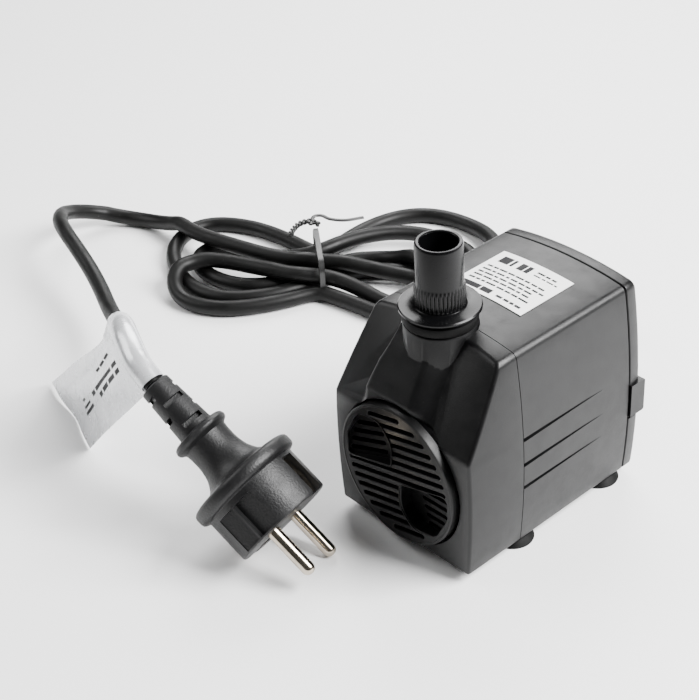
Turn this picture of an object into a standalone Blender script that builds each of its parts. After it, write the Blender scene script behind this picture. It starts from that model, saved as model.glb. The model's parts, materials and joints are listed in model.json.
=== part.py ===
"""Submersible fountain pump with its mains lead, built as separate parts.

The pump stands on the floor (Z = 0) with its intake dial facing -Y and its outlet pointing up.
All sizes below are in millimetres; new_object() writes them in metres.
"""
import math

import bmesh
import bpy
from mathutils import Matrix, Vector

MM = 0.001

# ---- driving dimensions, millimetres ----
FLOOR_GAP = 3.5            # height of the case above the floor, set by the suction cups
CASE_HEIGHT = 75.7         # case side, from its underside to its top corner
TOP_CROWN = 2.5            # rise of the lid's middle above the top corners
WAIST_HALF = 32.0          # half width at mid height
FOOT_HALF = 30.7           # half width at the underside
SHOULDER_HALF = 28.1       # half width at the top corners
TOP_EDGE_RADIUS = 3.0
FOOT_EDGE_RADIUS = 1.2
WALL = 2.2
GAP = 0.3                  # clearance between touching parts

FRONT_Y = -43.07           # plane of the front face
CREASE_Z = 50.2            # where the front face starts to lean back
SLOPE_TOP_Y = -25.2        # where the leaning face meets the top
SEAM_Y = -17.4             # front cover to motor housing
REAR_SEAM_Y = 36.75        # motor housing to rear cover
REAR_SEAM_GAP = 0.8
REAR_Y = 43.07

DIAL_Z = 31.1              # height of the dial, the impeller and the rotor
DIAL_RADIUS = 26.5
DIAL_HOLE_RADIUS = 27.0
DIAL_FACE_Y = -45.6
DIAL_THICKNESS = 3.2
DIAL_TURN = 13.5           # degrees the dial is set to
SLOT_COUNT = 14
SLOT_PITCH = 3.4
SLOT_WIDTH = 1.7
SLOT_MARGIN = 3.2          # solid rim outside the slots
SCOOP_DEPTH = 5.0
SCOOP_WALL = 1.1
CUP_RECESS_RADIUS = 26.3   # room behind the dial's hole for the turning finger cups
CUP_RECESS_END_Y = DIAL_FACE_Y + SCOOP_DEPTH + SCOOP_WALL + 0.6
DIAL_HOLE_END_Y = -40.0

OUTLET_Y = -22.8
BOSS_RADIUS = 12.5
BOSS_TOP_Z = 83.0
DUCT_RADIUS = 6.2
DUCT_WALL = 2.0
DUCT_SPLIT_Z = 57.8        # pump chamber's spout below, front cover's duct above
SPIGOT_RADIUS = 8.0
SEAL_TOP_Z = 86.6
FLANGE_RADIUS = 13.85
FLANGE_TOP_Z = 89.3
FLANGE_THICKNESS = 1.3
TUBE_RADIUS = 7.95
KNURL_RADIUS = 8.45
KNURL_BOTTOM_Z = 90.2
KNURL_TOP_Z = 97.0
NOZZLE_TOP_Z = 112.2

CHAMBER_OUTER = 23.5
CHAMBER_INNER = 21.2
CHAMBER_FRONT_Y = -31.0
SEAL_SECTION = 0.6         # radius of the O-ring behind the chamber
SEAL_Y = -12.0
BULKHEAD_Y = -10.0         # front face of the motor housing's bulkhead
BULKHEAD_THICKNESS = 2.5
WELL_RADIUS = 11.0         # bore of the rotor well
WELL_WALL = 1.5
WELL_END_Y = 18.0

SHAFT_RADIUS = 1.5
SHAFT_BORE = 1.58
MAGNET_RADIUS = 10.0
MAGNET_SPAN = (-14.0, 13.8)
IMPELLER_RADIUS = 18.5
IMPELLER_SPAN = (-29.0, -14.3)
VANE_COUNT = 6

CORE_SPAN = (0.0, 17.0)    # lamination stack along Y
LIMB_X = 19.5              # centre of each wound limb
LIMB_WIDTH = 6.6
COIL_Z = (48.5, 62.5)
POTTING_SPAN = (25.5, 34.0)

GROOVE_HEIGHTS = (46.8, 36.7, 27.2)
LABEL_HALF = 15.8
LABEL_SPAN = (-1.9, 24.8)

CUP_RADIUS = 7.5
CUP_X = 24.4
CUP_Y = (-14.2, 31.0)

CABLE_X = -15.0            # cable entry in the rear cover
CABLE_Z = 22.0
COLLAR_END_Y = 45.6
RELIEF_END_Y = 73.0

CORD_DIAMETER = 6.8

# Mains plug: it stands on the edge of its face and one pin, held up by its stiff lead.
PLUG_FACE = Vector((-23.4, -76.1, 15.45))
PLUG_YAW = 10.8            # degrees, heading of the pins on the floor
PLUG_DIP = 34.4            # degrees, pins down
PLUG_ROLL = 64.6           # degrees about the plug's own axis
PLUG_BODY_RADIUS = 18.5
PLUG_FLANGE_RADIUS = 21.0
PIN_RADIUS = 2.4
PIN_LENGTH = 19.0
PIN_SPACING = 19.0
PLUG_LENGTH = 65.0         # from the face to the end of its strain relief

TAG_START = 4.0            # along the lead, from the plug
TAG_WIDTH = 48.0
TAG_STEP = 4.0
TAG_CLEARANCE = 1.0
TAG_THICKNESS = 0.5
TAG_MEETING = 1.6          # where the wrap closes into the flap, in radii of the wrap
TAG_LEAF_SPANS = 8
TAG_FAR_EDGE = ((-123.6, -88.7, 0.8), (-169.8, -74.3, 0.8))

# ---- cord routes, chosen by hand, centre line in millimetres ----
PLUG_LEAD_ROUTE = [
    (-76.5, -86.2, 52.4), (-84.7, -86.1, 57.4), (-93.8, -83.1, 60.4), (-103.1, -78.9, 59.9),
    (-111.5, -74.6, 55.9), (-118.9, -70.2, 50.0), (-126.0, -65.6, 44.1), (-136.9, -58.8, 35.6),
    (-148.7, -52.3, 28.1), (-161.4, -46.1, 22.2), (-175.2, -40.1, 19.5), (-189.2, -34.1, 19.3),
    (-203.6, -29.0, 20.5), (-218.3, -25.1, 22.9), (-233.0, -21.0, 24.0), (-246.9, -14.8, 21.9),
    (-258.2, -5.6, 17.3), (-263.1, 7.1, 11.0), (-259.6, 20.4, 5.5), (-249.1, 30.5, 3.6),
    (-240.0, 33.4, 3.5), (-231.4, 34.4, 3.5),
]
PUMP_LEAD_ROUTE = [
    (CABLE_X, RELIEF_END_Y + GAP, CABLE_Z), (CABLE_X, 80.0, CABLE_Z), (-16.6, 90.0, 19.2),
    (-22.8, 98.8, 13.6), (-33.5, 104.2, 7.8), (-45.0, 104.8, 4.6), (-56.0, 102.6, 3.6),
    (-66.0, 99.4, 3.5), (-75.0, 96.6, 3.5), (-84.0, 95.2, 3.5),
]

# ---- hank: outline of the folded turns on the floor, (x, y, corner radius) ----
HANK_OUTLINE = [
    (-230.7, 16.0, 16.0), (-203.0, -13.0, 20.0), (-156.0, -9.0, 16.0), (-143.0, 32.0, 12.0),
    (-118.0, 43.0, 12.0), (-84.8, 54.0, 16.0), (-84.8, 118.0, 16.0), (-126.0, 138.0, 20.0),
    (-168.0, 134.0, 18.0), (-175.0, 84.0, 10.0), (-178.0, 66.0, 8.0), (-230.7, 66.0, 16.0),
]
HANK_HEIGHT = (0.2, 17.2)
TIE_CENTRE = (-150.5, 53.0)
TIE_ACROSS = 323.0         # degrees, direction across the strands
TIE_HALF = 17.2
TIE_THICKNESS = 0.8
TIE_WIDTH = 2.6

FINISHES = {
    "case_plastic": ((0.028, 0.028, 0.030), 0.42, 0.0),
    "dial_plastic": ((0.022, 0.022, 0.023), 0.45, 0.0),
    "inner_plastic": ((0.05, 0.05, 0.055), 0.5, 0.0),
    "rubber": ((0.012, 0.012, 0.012), 0.7, 0.0),
    "cord_rubber": ((0.014, 0.014, 0.014), 0.62, 0.0),
    "ferrite": ((0.06, 0.06, 0.065), 0.55, 0.2),
    "ceramic": ((0.85, 0.84, 0.8), 0.25, 0.0),
    "copper": ((0.72, 0.32, 0.16), 0.35, 1.0),
    "steel": ((0.45, 0.45, 0.46), 0.4, 1.0),
    "nickel": ((0.66, 0.62, 0.55), 0.22, 1.0),
    "resin": ((0.02, 0.02, 0.025), 0.3, 0.0),
    "bobbin_plastic": ((0.75, 0.72, 0.65), 0.5, 0.0),
    "label_film": ((0.88, 0.88, 0.87), 0.4, 0.0),
    "tag_film": ((0.80, 0.81, 0.82), 0.3, 0.0),
    "core_brown": ((0.16, 0.06, 0.03), 0.5, 0.0),
    "core_blue": ((0.03, 0.09, 0.30), 0.5, 0.0),
}


# ---- scene and object helpers ----
def clear_scene():
    for item in list(bpy.data.objects):
        bpy.data.objects.remove(item, do_unlink=True)


def finish(name):
    """Material with the given name from FINISHES."""
    found = bpy.data.materials.get(name)
    if found:
        return found
    colour, roughness, metallic = FINISHES[name]
    made = bpy.data.materials.new(name)
    made.use_nodes = True
    shader = made.node_tree.nodes["Principled BSDF"]
    shader.inputs["Base Color"].default_value = (*colour, 1.0)
    shader.inputs["Roughness"].default_value = roughness
    shader.inputs["Metallic"].default_value = metallic
    return made


def new_object(name, shape, surface, pivot=(0.0, 0.0, 0.0), parent=None):
    """Object from a bmesh in millimetres, with its origin at the pivot point."""
    bmesh.ops.recalc_face_normals(shape, faces=shape.faces)
    shift = Vector(pivot)
    for vert in shape.verts:
        vert.co = (vert.co - shift) * MM
    mesh = bpy.data.meshes.new(name)
    shape.to_mesh(mesh)
    shape.free()
    mesh.shade_smooth()
    mesh.set_sharp_from_angle(angle=math.radians(32))
    made = bpy.data.objects.new(name, mesh)
    made.location = shift * MM
    made.data.materials.append(finish(surface))
    bpy.context.scene.collection.objects.link(made)
    if parent:
        made.parent = parent
    return made


def shape_with(target, operation, name, shape):
    """Boolean of the target with a hidden helper object."""
    helper = new_object(name, shape, "inner_plastic")
    helper.hide_render = True
    helper.display_type = "WIRE"
    modifier = target.modifiers.new(name, "BOOLEAN")
    modifier.operation = operation
    modifier.solver = "EXACT"
    modifier.object = helper
    return helper


def cut(target, name, shape):
    return shape_with(target, "DIFFERENCE", name, shape)


def fuse(target, name, shape):
    return shape_with(target, "UNION", name, shape)


# ---- shape helpers, all in millimetres ----
def loft(rings):
    """Closed solid through rings of equal length, flat caps at both ends."""
    shape = bmesh.new()
    loops = [[shape.verts.new(point) for point in ring] for ring in rings]
    count = len(loops[0])
    for lower, upper in zip(loops, loops[1:]):
        for i in range(count):
            j = (i + 1) % count
            shape.faces.new((lower[i], lower[j], upper[j], upper[i]))
    shape.faces.new(loops[0][::-1])
    shape.faces.new(loops[-1])
    return shape


def prism(outline, low, high, axis="Y"):
    """Outline of two coordinates pushed along an axis; Y takes (x, z), Z takes (x, y)."""
    if axis == "Y":
        return loft([[(a, end, b) for a, b in outline] for end in (low, high)])
    if axis == "X":
        return loft([[(end, a, b) for a, b in outline] for end in (low, high)])
    return loft([[(a, b, end) for a, b in outline] for end in (low, high)])


def block(low, high):
    corners = [(low[0], low[1]), (high[0], low[1]), (high[0], high[1]), (low[0], high[1])]
    return prism(corners, low[2], high[2], "Z")


def turned(profile, steps=32):
    """Solid of revolution about Z from a closed (radius, height) profile.

    A point on the axis stands for a flat cap over the ring beside it.
    """
    shape = bmesh.new()
    angles = [2 * math.pi * i / steps for i in range(steps)]
    rings = []
    for radius, height in profile:
        if radius > 0:
            rings.append([shape.verts.new((radius * math.cos(a), radius * math.sin(a), height))
                          for a in angles])
    solid = len(rings) < len(profile)
    pairs = list(zip(rings, rings[1:]))
    if solid:
        shape.faces.new(rings[0])
        shape.faces.new(rings[-1])
    else:
        pairs.append((rings[-1], rings[0]))
    for here, there in pairs:
        for i in range(steps):
            j = (i + 1) % steps
            shape.faces.new((here[i], here[j], there[j], there[i]))
    return shape


def moved(shape, matrix):
    bmesh.ops.transform(shape, matrix=matrix, verts=shape.verts)
    return shape


def along_y(shape, centre):
    """Turn a shape made about Z so that its axis is +Y, through (x, z)."""
    turn = Matrix.Rotation(math.radians(-90), 4, "X")
    return moved(shape, Matrix.Translation((centre[0], 0.0, centre[1])) @ turn)


def rod_y(radius, low, high, centre, steps=32):
    return along_y(turned([(0, low), (radius, low), (radius, high), (0, high)], steps), centre)


def rod_z(radius, low, high, centre, steps=32):
    shape = turned([(0, low), (radius, low), (radius, high), (0, high)], steps)
    return moved(shape, Matrix.Translation((centre[0], centre[1], 0.0)))


def ring_y(inner, outer, low, high, centre, steps=32):
    profile = [(inner, low), (outer, low), (outer, high), (inner, high)]
    return along_y(turned(profile, steps), centre)


def joined(*shapes):
    """One bmesh holding several shapes that don't touch."""
    first = shapes[0]
    for other in shapes[1:]:
        spare = bpy.data.meshes.new("spare")
        other.to_mesh(spare)
        other.free()
        first.from_mesh(spare)
        bpy.data.meshes.remove(spare)
    return first


def rounded(corners, steps=4):
    """Outline from (a, b, radius) corners, with each corner as an arc."""
    points = []
    count = len(corners)
    for i, (a, b, radius) in enumerate(corners):
        here = Vector((a, b))
        if radius <= 0:
            points.append((a, b))
            continue
        before = (Vector(corners[i - 1][:2]) - here).normalized()
        after = (Vector(corners[(i + 1) % count][:2]) - here).normalized()
        half = before.angle(after) / 2
        centre = here + (before + after).normalized() * (radius / math.sin(half))
        start = here + before * (radius / math.tan(half)) - centre
        end = here + after * (radius / math.tan(half)) - centre
        sweep = start.angle_signed(end)
        for k in range(steps + 1):
            turn = Matrix.Rotation(-sweep * k / steps, 2)
            points.append(tuple(centre + turn @ start))
    return points


def arc(centre, radius, start, end, steps):
    """Points on an arc between two angles in degrees."""
    angles = [math.radians(start + (end - start) * i / steps) for i in range(steps + 1)]
    return [(centre[0] + radius * math.cos(a), centre[1] + radius * math.sin(a)) for a in angles]


def smooth_path(points, spacing):
    """Evenly spaced points on a smooth curve through the route's points."""
    route = [Vector(point) for point in points]
    ends = [2 * route[0] - route[1]] + route + [2 * route[-1] - route[-2]]
    dense = []
    for before, start, end, after in zip(ends, ends[1:], ends[2:], ends[3:]):
        for k in range(24):
            t = k / 24
            dense.append(0.5 * ((2 * start) + (end - before) * t
                                + (2 * before - 5 * start + 4 * end - after) * t ** 2
                                + (3 * start - before - 3 * end + after) * t ** 3))
    dense.append(route[-1])
    length = sum((b - a).length for a, b in zip(dense, dense[1:]))
    count = max(2, round(length / spacing))
    wanted = [length * i / count for i in range(count + 1)]
    spaced = [dense[0]]
    travelled = 0.0
    for a, b in zip(dense, dense[1:]):
        step = (b - a).length
        while len(spaced) < count and travelled + step >= wanted[len(spaced)]:
            spaced.append(a.lerp(b, (wanted[len(spaced)] - travelled) / step))
        travelled += step
    spaced.append(dense[-1])
    return spaced


# ---- case ----
def half_width(share):
    """Half width of the crowned case side, from its underside (0) to its top corner (1)."""
    return (FOOT_HALF * (1 - share) * (1 - 2 * share) + 4 * WAIST_HALF * share * (1 - share)
            + SHOULDER_HALF * share * (2 * share - 1))


def top_height(x, inset=0.0):
    """Height of the crowned top above the floor at a distance x from its middle."""
    reach = SHOULDER_HALF - inset
    return FLOOR_GAP + CASE_HEIGHT - inset + TOP_CROWN * (1 - (x / reach) ** 2)


def case_outline(inset=0.0):
    """Cross-section of the case as (x, z) points, made smaller by the inset on every side."""
    low = FLOOR_GAP + inset
    high = FLOOR_GAP + CASE_HEIGHT - inset
    foot_radius = max(FOOT_EDGE_RADIUS - inset, 0.3)
    shoulder_radius = max(TOP_EDGE_RADIUS - inset, 0.4)
    right = [(half_width(0) - inset, low, foot_radius)]
    side_steps = 6
    for i in range(1, side_steps):
        share = i / side_steps
        right.append((half_width(share) - inset, low + (high - low) * share, 0.0))
    right.append((SHOULDER_HALF - inset, high, shoulder_radius))
    for share in (0.8, 0.55, 0.28):
        x = (SHOULDER_HALF - inset) * share
        right.append((x, top_height(x, inset), 0.0))
    left = [(-x, z, radius) for x, z, radius in reversed(right)]
    return rounded(right + [(0.0, top_height(0.0, inset), 0.0)] + left, 3)


def lean_back(shape, offset):
    """Cut the upper front of a case prism along the leaning face, moved inwards by the offset."""
    run = SLOPE_TOP_Y - FRONT_Y
    rise = FLOOR_GAP + CASE_HEIGHT - CREASE_Z
    outward = Vector((0.0, -rise, run)).normalized()
    point = Vector((0.0, FRONT_Y, CREASE_Z)) - outward * offset
    everything = shape.verts[:] + shape.edges[:] + shape.faces[:]
    found = bmesh.ops.bisect_plane(shape, geom=everything, plane_co=point, plane_no=outward,
                                   clear_outer=True)
    edges = [item for item in found["geom_cut"] if isinstance(item, bmesh.types.BMEdge)]
    bmesh.ops.contextual_create(shape, geom=edges)
    return shape


def nose():
    """Raised middle of the leaning face, from the outlet boss down to the dial."""
    corners = [(15.9, FRONT_Y, CREASE_Z), (11.8, FRONT_Y, 57.2), (6.0, FRONT_Y, 60.4),
               (14.0, -41.0, 56.0), (12.6, -36.0, 70.0), (8.0, -36.6, 71.5),
               (14.0, -25.0, 79.6), (12.0, -26.5, 82.0), (14.0, -27.0, 62.0)]
    shape = bmesh.new()
    for x, y, z in corners:
        shape.verts.new((x, y, z))
        shape.verts.new((-x, y, z))
    bmesh.ops.convex_hull(shape, input=shape.verts[:])
    loose = [vert for vert in shape.verts if not vert.link_faces]
    bmesh.ops.delete(shape, geom=loose, context="VERTS")
    return shape


def make_front_cover():
    shell = lean_back(prism(case_outline(), FRONT_Y, SEAM_Y - GAP / 2), 0.0)
    cover = new_object("front_cover", shell, "case_plastic")
    fuse(cover, "nose_form", nose())
    boss = rod_z(BOSS_RADIUS, 68.0, BOSS_TOP_Z, (0.0, OUTLET_Y), 48)
    fuse(cover, "boss_form", boss)
    hollow = lean_back(prism(case_outline(WALL), FRONT_Y + WALL, SEAM_Y + 1.0), WALL)
    cut(cover, "front_hollow", hollow)
    duct = rod_z(DUCT_RADIUS + DUCT_WALL, DUCT_SPLIT_Z + GAP, 80.5, (0.0, OUTLET_Y), 32)
    fuse(cover, "duct_form", duct)
    bore = turned([(0, 50.0), (DUCT_RADIUS, 50.0), (DUCT_RADIUS, 70.0),
                   (SPIGOT_RADIUS + 0.4, 70.0), (SPIGOT_RADIUS + 0.4, 90.0), (0, 90.0)])
    cut(cover, "outlet_bore", moved(bore, Matrix.Translation((0.0, OUTLET_Y, 0.0))))
    centre = (0.0, DIAL_Z)
    cut(cover, "dial_hole", rod_y(DIAL_HOLE_RADIUS, FRONT_Y - 3.0, DIAL_HOLE_END_Y, centre, 64))
    recess = rod_y(CUP_RECESS_RADIUS, FRONT_Y - 2.0, CUP_RECESS_END_Y, centre, 64)
    cut(cover, "cup_recess", recess)
    return cover


def scoop_outline(growth=0.0):
    """Finger scoop in the dial, a rounded D seen from the front, about the dial's centre."""
    corners = [(1.5, -3.2, 2.0), (-1.2, -12.0, 8.0), (3.0, -20.0, 6.0), (13.6, -20.4, 5.0),
               (21.8, -11.2, 6.0), (23.8, -2.4, 2.0)]
    middle = Vector((11.0, -11.5))
    grown = []
    for x, z, radius in corners:
        away = (Vector((x, z)) - middle).normalized() * growth
        grown.append((x + away.x, z + away.y, radius + growth / 2))
    return rounded(grown, 3)


def slot_outline(height):
    """Stadium outline of one dial slot at a height above the dial's centre."""
    reach = math.sqrt((DIAL_RADIUS - SLOT_MARGIN) ** 2 - height ** 2) - SLOT_WIDTH / 2
    right = arc((reach, height), SLOT_WIDTH / 2, -90, 90, 3)
    left = arc((-reach, height), SLOT_WIDTH / 2, 90, 270, 3)
    return right + left


def make_flow_dial(parent):
    centre = (0.0, 0.0)
    face, back = DIAL_FACE_Y, DIAL_FACE_Y + DIAL_THICKNESS
    rim = [(0, face), (DIAL_RADIUS - 0.8, face), (DIAL_RADIUS, face + 0.8), (DIAL_RADIUS, back),
           (0, back)]
    dial = new_object("flow_dial", along_y(turned(rim, 64), centre), "dial_plastic")
    middle = (SLOT_COUNT - 1) / 2
    slots = [prism(slot_outline((i - middle) * SLOT_PITCH), face - 1, back + 1)
             for i in range(SLOT_COUNT)]
    helpers = [cut(dial, "dial_slots", joined(*slots))]
    half_turn = Matrix.Rotation(math.pi, 4, "Y")
    cup_front, cup_back = face + 0.15, face + SCOOP_DEPTH + SCOOP_WALL
    cups = [prism(scoop_outline(SCOOP_WALL), cup_front, cup_back)]
    cups.append(moved(prism(scoop_outline(SCOOP_WALL), cup_front, cup_back), half_turn))
    helpers.append(fuse(dial, "scoop_cups", joined(*cups)))
    hub = along_y(turned([(0, back - 1.0), (4.2, back - 1.0), (4.2, -37.2), (1.9, -37.2),
                          (1.9, -34.9), (0, -34.9)], 24), centre)
    helpers.append(fuse(dial, "dial_hub", hub))
    pockets = [prism(scoop_outline(), face - 1, face + SCOOP_DEPTH)]
    pockets.append(moved(prism(scoop_outline(), face - 1, face + SCOOP_DEPTH), half_turn))
    helpers.append(cut(dial, "dial_scoops", joined(*pockets)))
    dial.location = Vector((0.0, 0.0, DIAL_Z)) * MM
    dial.rotation_euler = (0.0, math.radians(-DIAL_TURN), 0.0)
    for helper in helpers:
        helper.parent = dial
    dial.parent = parent


def groove(side, height):
    """Cutter for a tapered groove in the case side, deepest at the front seam."""
    share = (height - FLOOR_GAP) / CASE_HEIGHT
    surface = half_width(share)
    rings = []
    for y, depth, width in ((SEAM_Y - 1.0, 1.0, 1.6), (26.0, -0.15, 0.5)):
        inner = side * (surface - depth)
        outer = side * (surface + 1.2)
        rings.append([(inner, y, height - 0.2 * width), (inner, y, height + 0.2 * width),
                      (outer, y, height + 1.2 * width), (outer, y, height - 1.2 * width)])
    return loft(rings)


def make_motor_housing():
    body = prism(case_outline(), SEAM_Y + GAP / 2, REAR_SEAM_Y - REAR_SEAM_GAP / 2)
    housing = new_object("motor_housing", body, "case_plastic")
    front_recess = prism(case_outline(WALL), SEAM_Y - 1.0, BULKHEAD_Y)
    rear_cavity = prism(case_outline(WALL), BULKHEAD_Y + BULKHEAD_THICKNESS, REAR_SEAM_Y + 1.0)
    cut(housing, "housing_hollows", joined(front_recess, rear_cavity))
    rotor_centre = (0.0, DIAL_Z)
    well = rod_y(WELL_RADIUS + WELL_WALL, BULKHEAD_Y + 1.0, WELL_END_Y + 2.0, rotor_centre, 40)
    fuse(housing, "well_form", well)
    cut(housing, "well_bore", rod_y(WELL_RADIUS, BULKHEAD_Y - 1.0, WELL_END_Y, rotor_centre, 40))
    notch = rod_z(BOSS_RADIUS + GAP, 67.0, 92.0, (0.0, OUTLET_Y), 48)
    cut(housing, "boss_notch", notch)
    grooves = [groove(side, height) for side in (-1, 1) for height in GROOVE_HEIGHTS]
    cut(housing, "side_grooves", joined(*grooves))
    holes = [rod_z(2.4, 0.0, 7.0, (side * CUP_X, y), 20) for side in (-1, 1) for y in CUP_Y]
    cut(housing, "cup_holes", joined(*holes))
    return housing


def clip_pad(side):
    """Raised latch on the side of the rear cover."""
    inner = side * (WAIST_HALF - 2.0)
    outer = side * (WAIST_HALF + 0.9)
    start = REAR_SEAM_Y + REAR_SEAM_GAP / 2
    outline = rounded([(start, 27.4, 0.0), (44.4, 27.4, 0.8), (44.4, 40.6, 0.8), (start, 40.6, 0)],
                      2)
    return prism(outline, min(inner, outer), max(inner, outer), "X")


def make_rear_cover():
    start = REAR_SEAM_Y + REAR_SEAM_GAP / 2
    rear = case_outline()
    smaller = case_outline(1.6)
    shell = loft([[(x, y, z) for x, z in outline]
                  for y, outline in ((start, rear), (REAR_Y - 1.6, rear), (REAR_Y, smaller))])
    cover = new_object("rear_cover", shell, "case_plastic")
    fuse(cover, "clip_pads", joined(clip_pad(-1), clip_pad(1)))
    entry = (CABLE_X, CABLE_Z)
    collar = along_y(turned([(0, REAR_Y - 2.0), (9.5, REAR_Y - 2.0), (9.5, COLLAR_END_Y - 1.0),
                             (8.5, COLLAR_END_Y), (0, COLLAR_END_Y)], 32), entry)
    fuse(cover, "entry_collar", collar)
    cut(cover, "rear_hollow", prism(case_outline(WALL), start - 1.0, REAR_Y - 2.4))
    slits = [block((side * 31.4 - 3.0, start - 1.0, 26.2), (side * 31.4 + 3.0, 46.0, 27.0))
             for side in (-1, 1)]
    cut(cover, "clip_slits", joined(*slits))
    cut(cover, "entry_bore", rod_y(6.2, 30.0, 50.0, entry, 32))
    return cover


# ---- pump end ----
def make_pump_chamber():
    rear = BULKHEAD_Y - GAP
    centre = (0.0, DIAL_Z)
    ring = ring_y(CHAMBER_INNER, CHAMBER_OUTER, CHAMBER_FRONT_Y, rear, centre, 48)
    chamber = new_object("pump_chamber", ring, "inner_plastic")
    spout = rod_z(DUCT_RADIUS + 1.6, 52.6, DUCT_SPLIT_Z, (0.0, OUTLET_Y), 32)
    fuse(chamber, "spout_form", spout)
    cut(chamber, "spout_bore", rod_z(DUCT_RADIUS, 45.0, 60.0, (0.0, OUTLET_Y), 32))
    return chamber


def make_intake_plate():
    centre = (0.0, DIAL_Z)
    back = CHAMBER_FRONT_Y - GAP
    disc = along_y(turned([(0, back - 2.4), (CHAMBER_OUTER - 0.8, back - 2.4),
                           (CHAMBER_OUTER - 0.8, back), (0, back)], 48), centre)
    plate = new_object("intake_plate", disc, "inner_plastic")
    eye = []
    for start in (12, 132, 252):
        outline = arc(centre, 12.0, start, start + 96, 8) + arc(centre, 5.0, start + 96, start, 6)
        eye.append(prism(outline, back - 4.0, back + 2.0))
    cut(plate, "intake_eye", joined(*eye))
    fuse(plate, "bush_boss", rod_y(4.4, -36.4, -29.6, centre, 24))
    bores = [rod_y(2.3, -38.0, -34.4, centre, 20), rod_y(3.3, -33.6, -28.0, centre, 24)]
    cut(plate, "bush_bores", joined(*bores))
    return plate


def make_chamber_seal():
    centre = (0.0, DIAL_Z)
    middle = CHAMBER_OUTER + GAP + SEAL_SECTION
    profile = [(middle + SEAL_SECTION * math.cos(a), SEAL_Y + SEAL_SECTION * math.sin(a))
               for a in [math.pi * i / 3 for i in range(6)]]
    new_object("chamber_seal", along_y(turned(profile, 32), centre), "rubber")


def make_rotor():
    """Magnet and impeller, which spin together on the fixed shaft."""
    centre = (0.0, DIAL_Z)
    axis = bpy.data.objects.new("rotor_axis", None)
    bpy.context.scene.collection.objects.link(axis)
    axis.location = Vector((0.0, 0.0, DIAL_Z)) * MM
    low, high = MAGNET_SPAN
    profile = [(SHAFT_BORE, low), (MAGNET_RADIUS - 0.8, low), (MAGNET_RADIUS, low + 0.8),
               (MAGNET_RADIUS, high - 0.8), (MAGNET_RADIUS - 0.8, high), (SHAFT_BORE, high)]
    pivot = (0.0, 0.0, DIAL_Z)
    magnet = new_object("rotor_magnet", along_y(turned(profile, 32), centre), "ferrite", pivot)
    front, back = IMPELLER_SPAN
    hub = along_y(turned([(0, back - 2.4), (IMPELLER_RADIUS, back - 2.4), (IMPELLER_RADIUS, back),
                          (0, back)], 40), centre)
    impeller = new_object("impeller", hub, "inner_plastic", pivot)
    stub = rod_y(4.6, front, back - 1.0, centre, 24)
    fuse(impeller, "impeller_hub", stub).parent = axis
    vanes = []
    for i in range(VANE_COUNT):
        outline = [(3.2, -0.7), (IMPELLER_RADIUS - 0.6, -0.7), (IMPELLER_RADIUS - 0.6, 0.7),
                   (3.2, 0.7)]
        vane = prism(outline, front + 2.0, back - 1.2)
        turn = Matrix.Rotation(2 * math.pi * i / VANE_COUNT, 4, "Y")
        vanes.append(moved(vane, Matrix.Translation((0.0, 0.0, DIAL_Z)) @ turn))
    for i, vane in enumerate(vanes):
        fuse(impeller, f"vane_form_{i + 1}", vane).parent = axis
    cut(impeller, "impeller_bore", rod_y(SHAFT_BORE, -35.0, 0.0, centre, 24)).parent = axis
    for helper in axis.children:
        helper.location = helper.location - axis.location
    for piece in (magnet, impeller):
        piece.parent = axis
        piece.location = (0.0, 0.0, 0.0)


def make_shaft_and_bushes():
    centre = (0.0, DIAL_Z)
    shaft = along_y(turned([(0, -33.3), (SHAFT_RADIUS - 0.3, -33.3), (SHAFT_RADIUS, -33.0),
                            (SHAFT_RADIUS, 17.2), (0, 17.2)], 24), centre)
    new_object("rotor_shaft", shaft, "ceramic")
    for name, low, high, outer in (("front_bush", -33.2, -30.2, 3.0), ("rear_bush", 14.3, 17.6, 6.0)):
        bush = ring_y(SHAFT_RADIUS + GAP, outer, low, high, centre, 24)
        new_object(name, bush, "rubber")


# ---- motor ----
def make_stator():
    """Laminated core: two pole arms round the rotor well, a limb above each, and a yoke."""
    low, high = CORE_SPAN
    inner, outer = LIMB_X - LIMB_WIDTH / 2, LIMB_X + LIMB_WIDTH / 2
    outline = [(-outer, 15.0), (-1.6, 15.0), (-1.6, 24.0), (1.6, 24.0), (1.6, 15.0), (outer, 15.0),
               (outer, 71.5), (-outer, 71.5)]
    core = new_object("stator_core", prism(outline, low, high), "steel")
    window = block((-inner, low - 1.0, 46.6), (inner, high + 1.0, 65.2))
    cut(core, "core_window", window)
    cut(core, "core_gap", block((-1.6, low - 1.0, 30.0), (1.6, high + 1.0, 50.0)))
    pole = rod_y(WELL_RADIUS + WELL_WALL + 0.4, low - 1.0, high + 1.0, (0.0, DIAL_Z), 48)
    cut(core, "core_bore", pole)


def rectangle_ring(half_x, half_y, wall, low, high, centre):
    """Rectangular tube standing along Z."""
    outer = block((centre[0] - half_x, centre[1] - half_y, low),
                  (centre[0] + half_x, centre[1] + half_y, high))
    inner = block((centre[0] - half_x + wall, centre[1] - half_y + wall, low - 1.0),
                  (centre[0] + half_x - wall, centre[1] + half_y - wall, high + 1.0))
    return outer, inner


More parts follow.
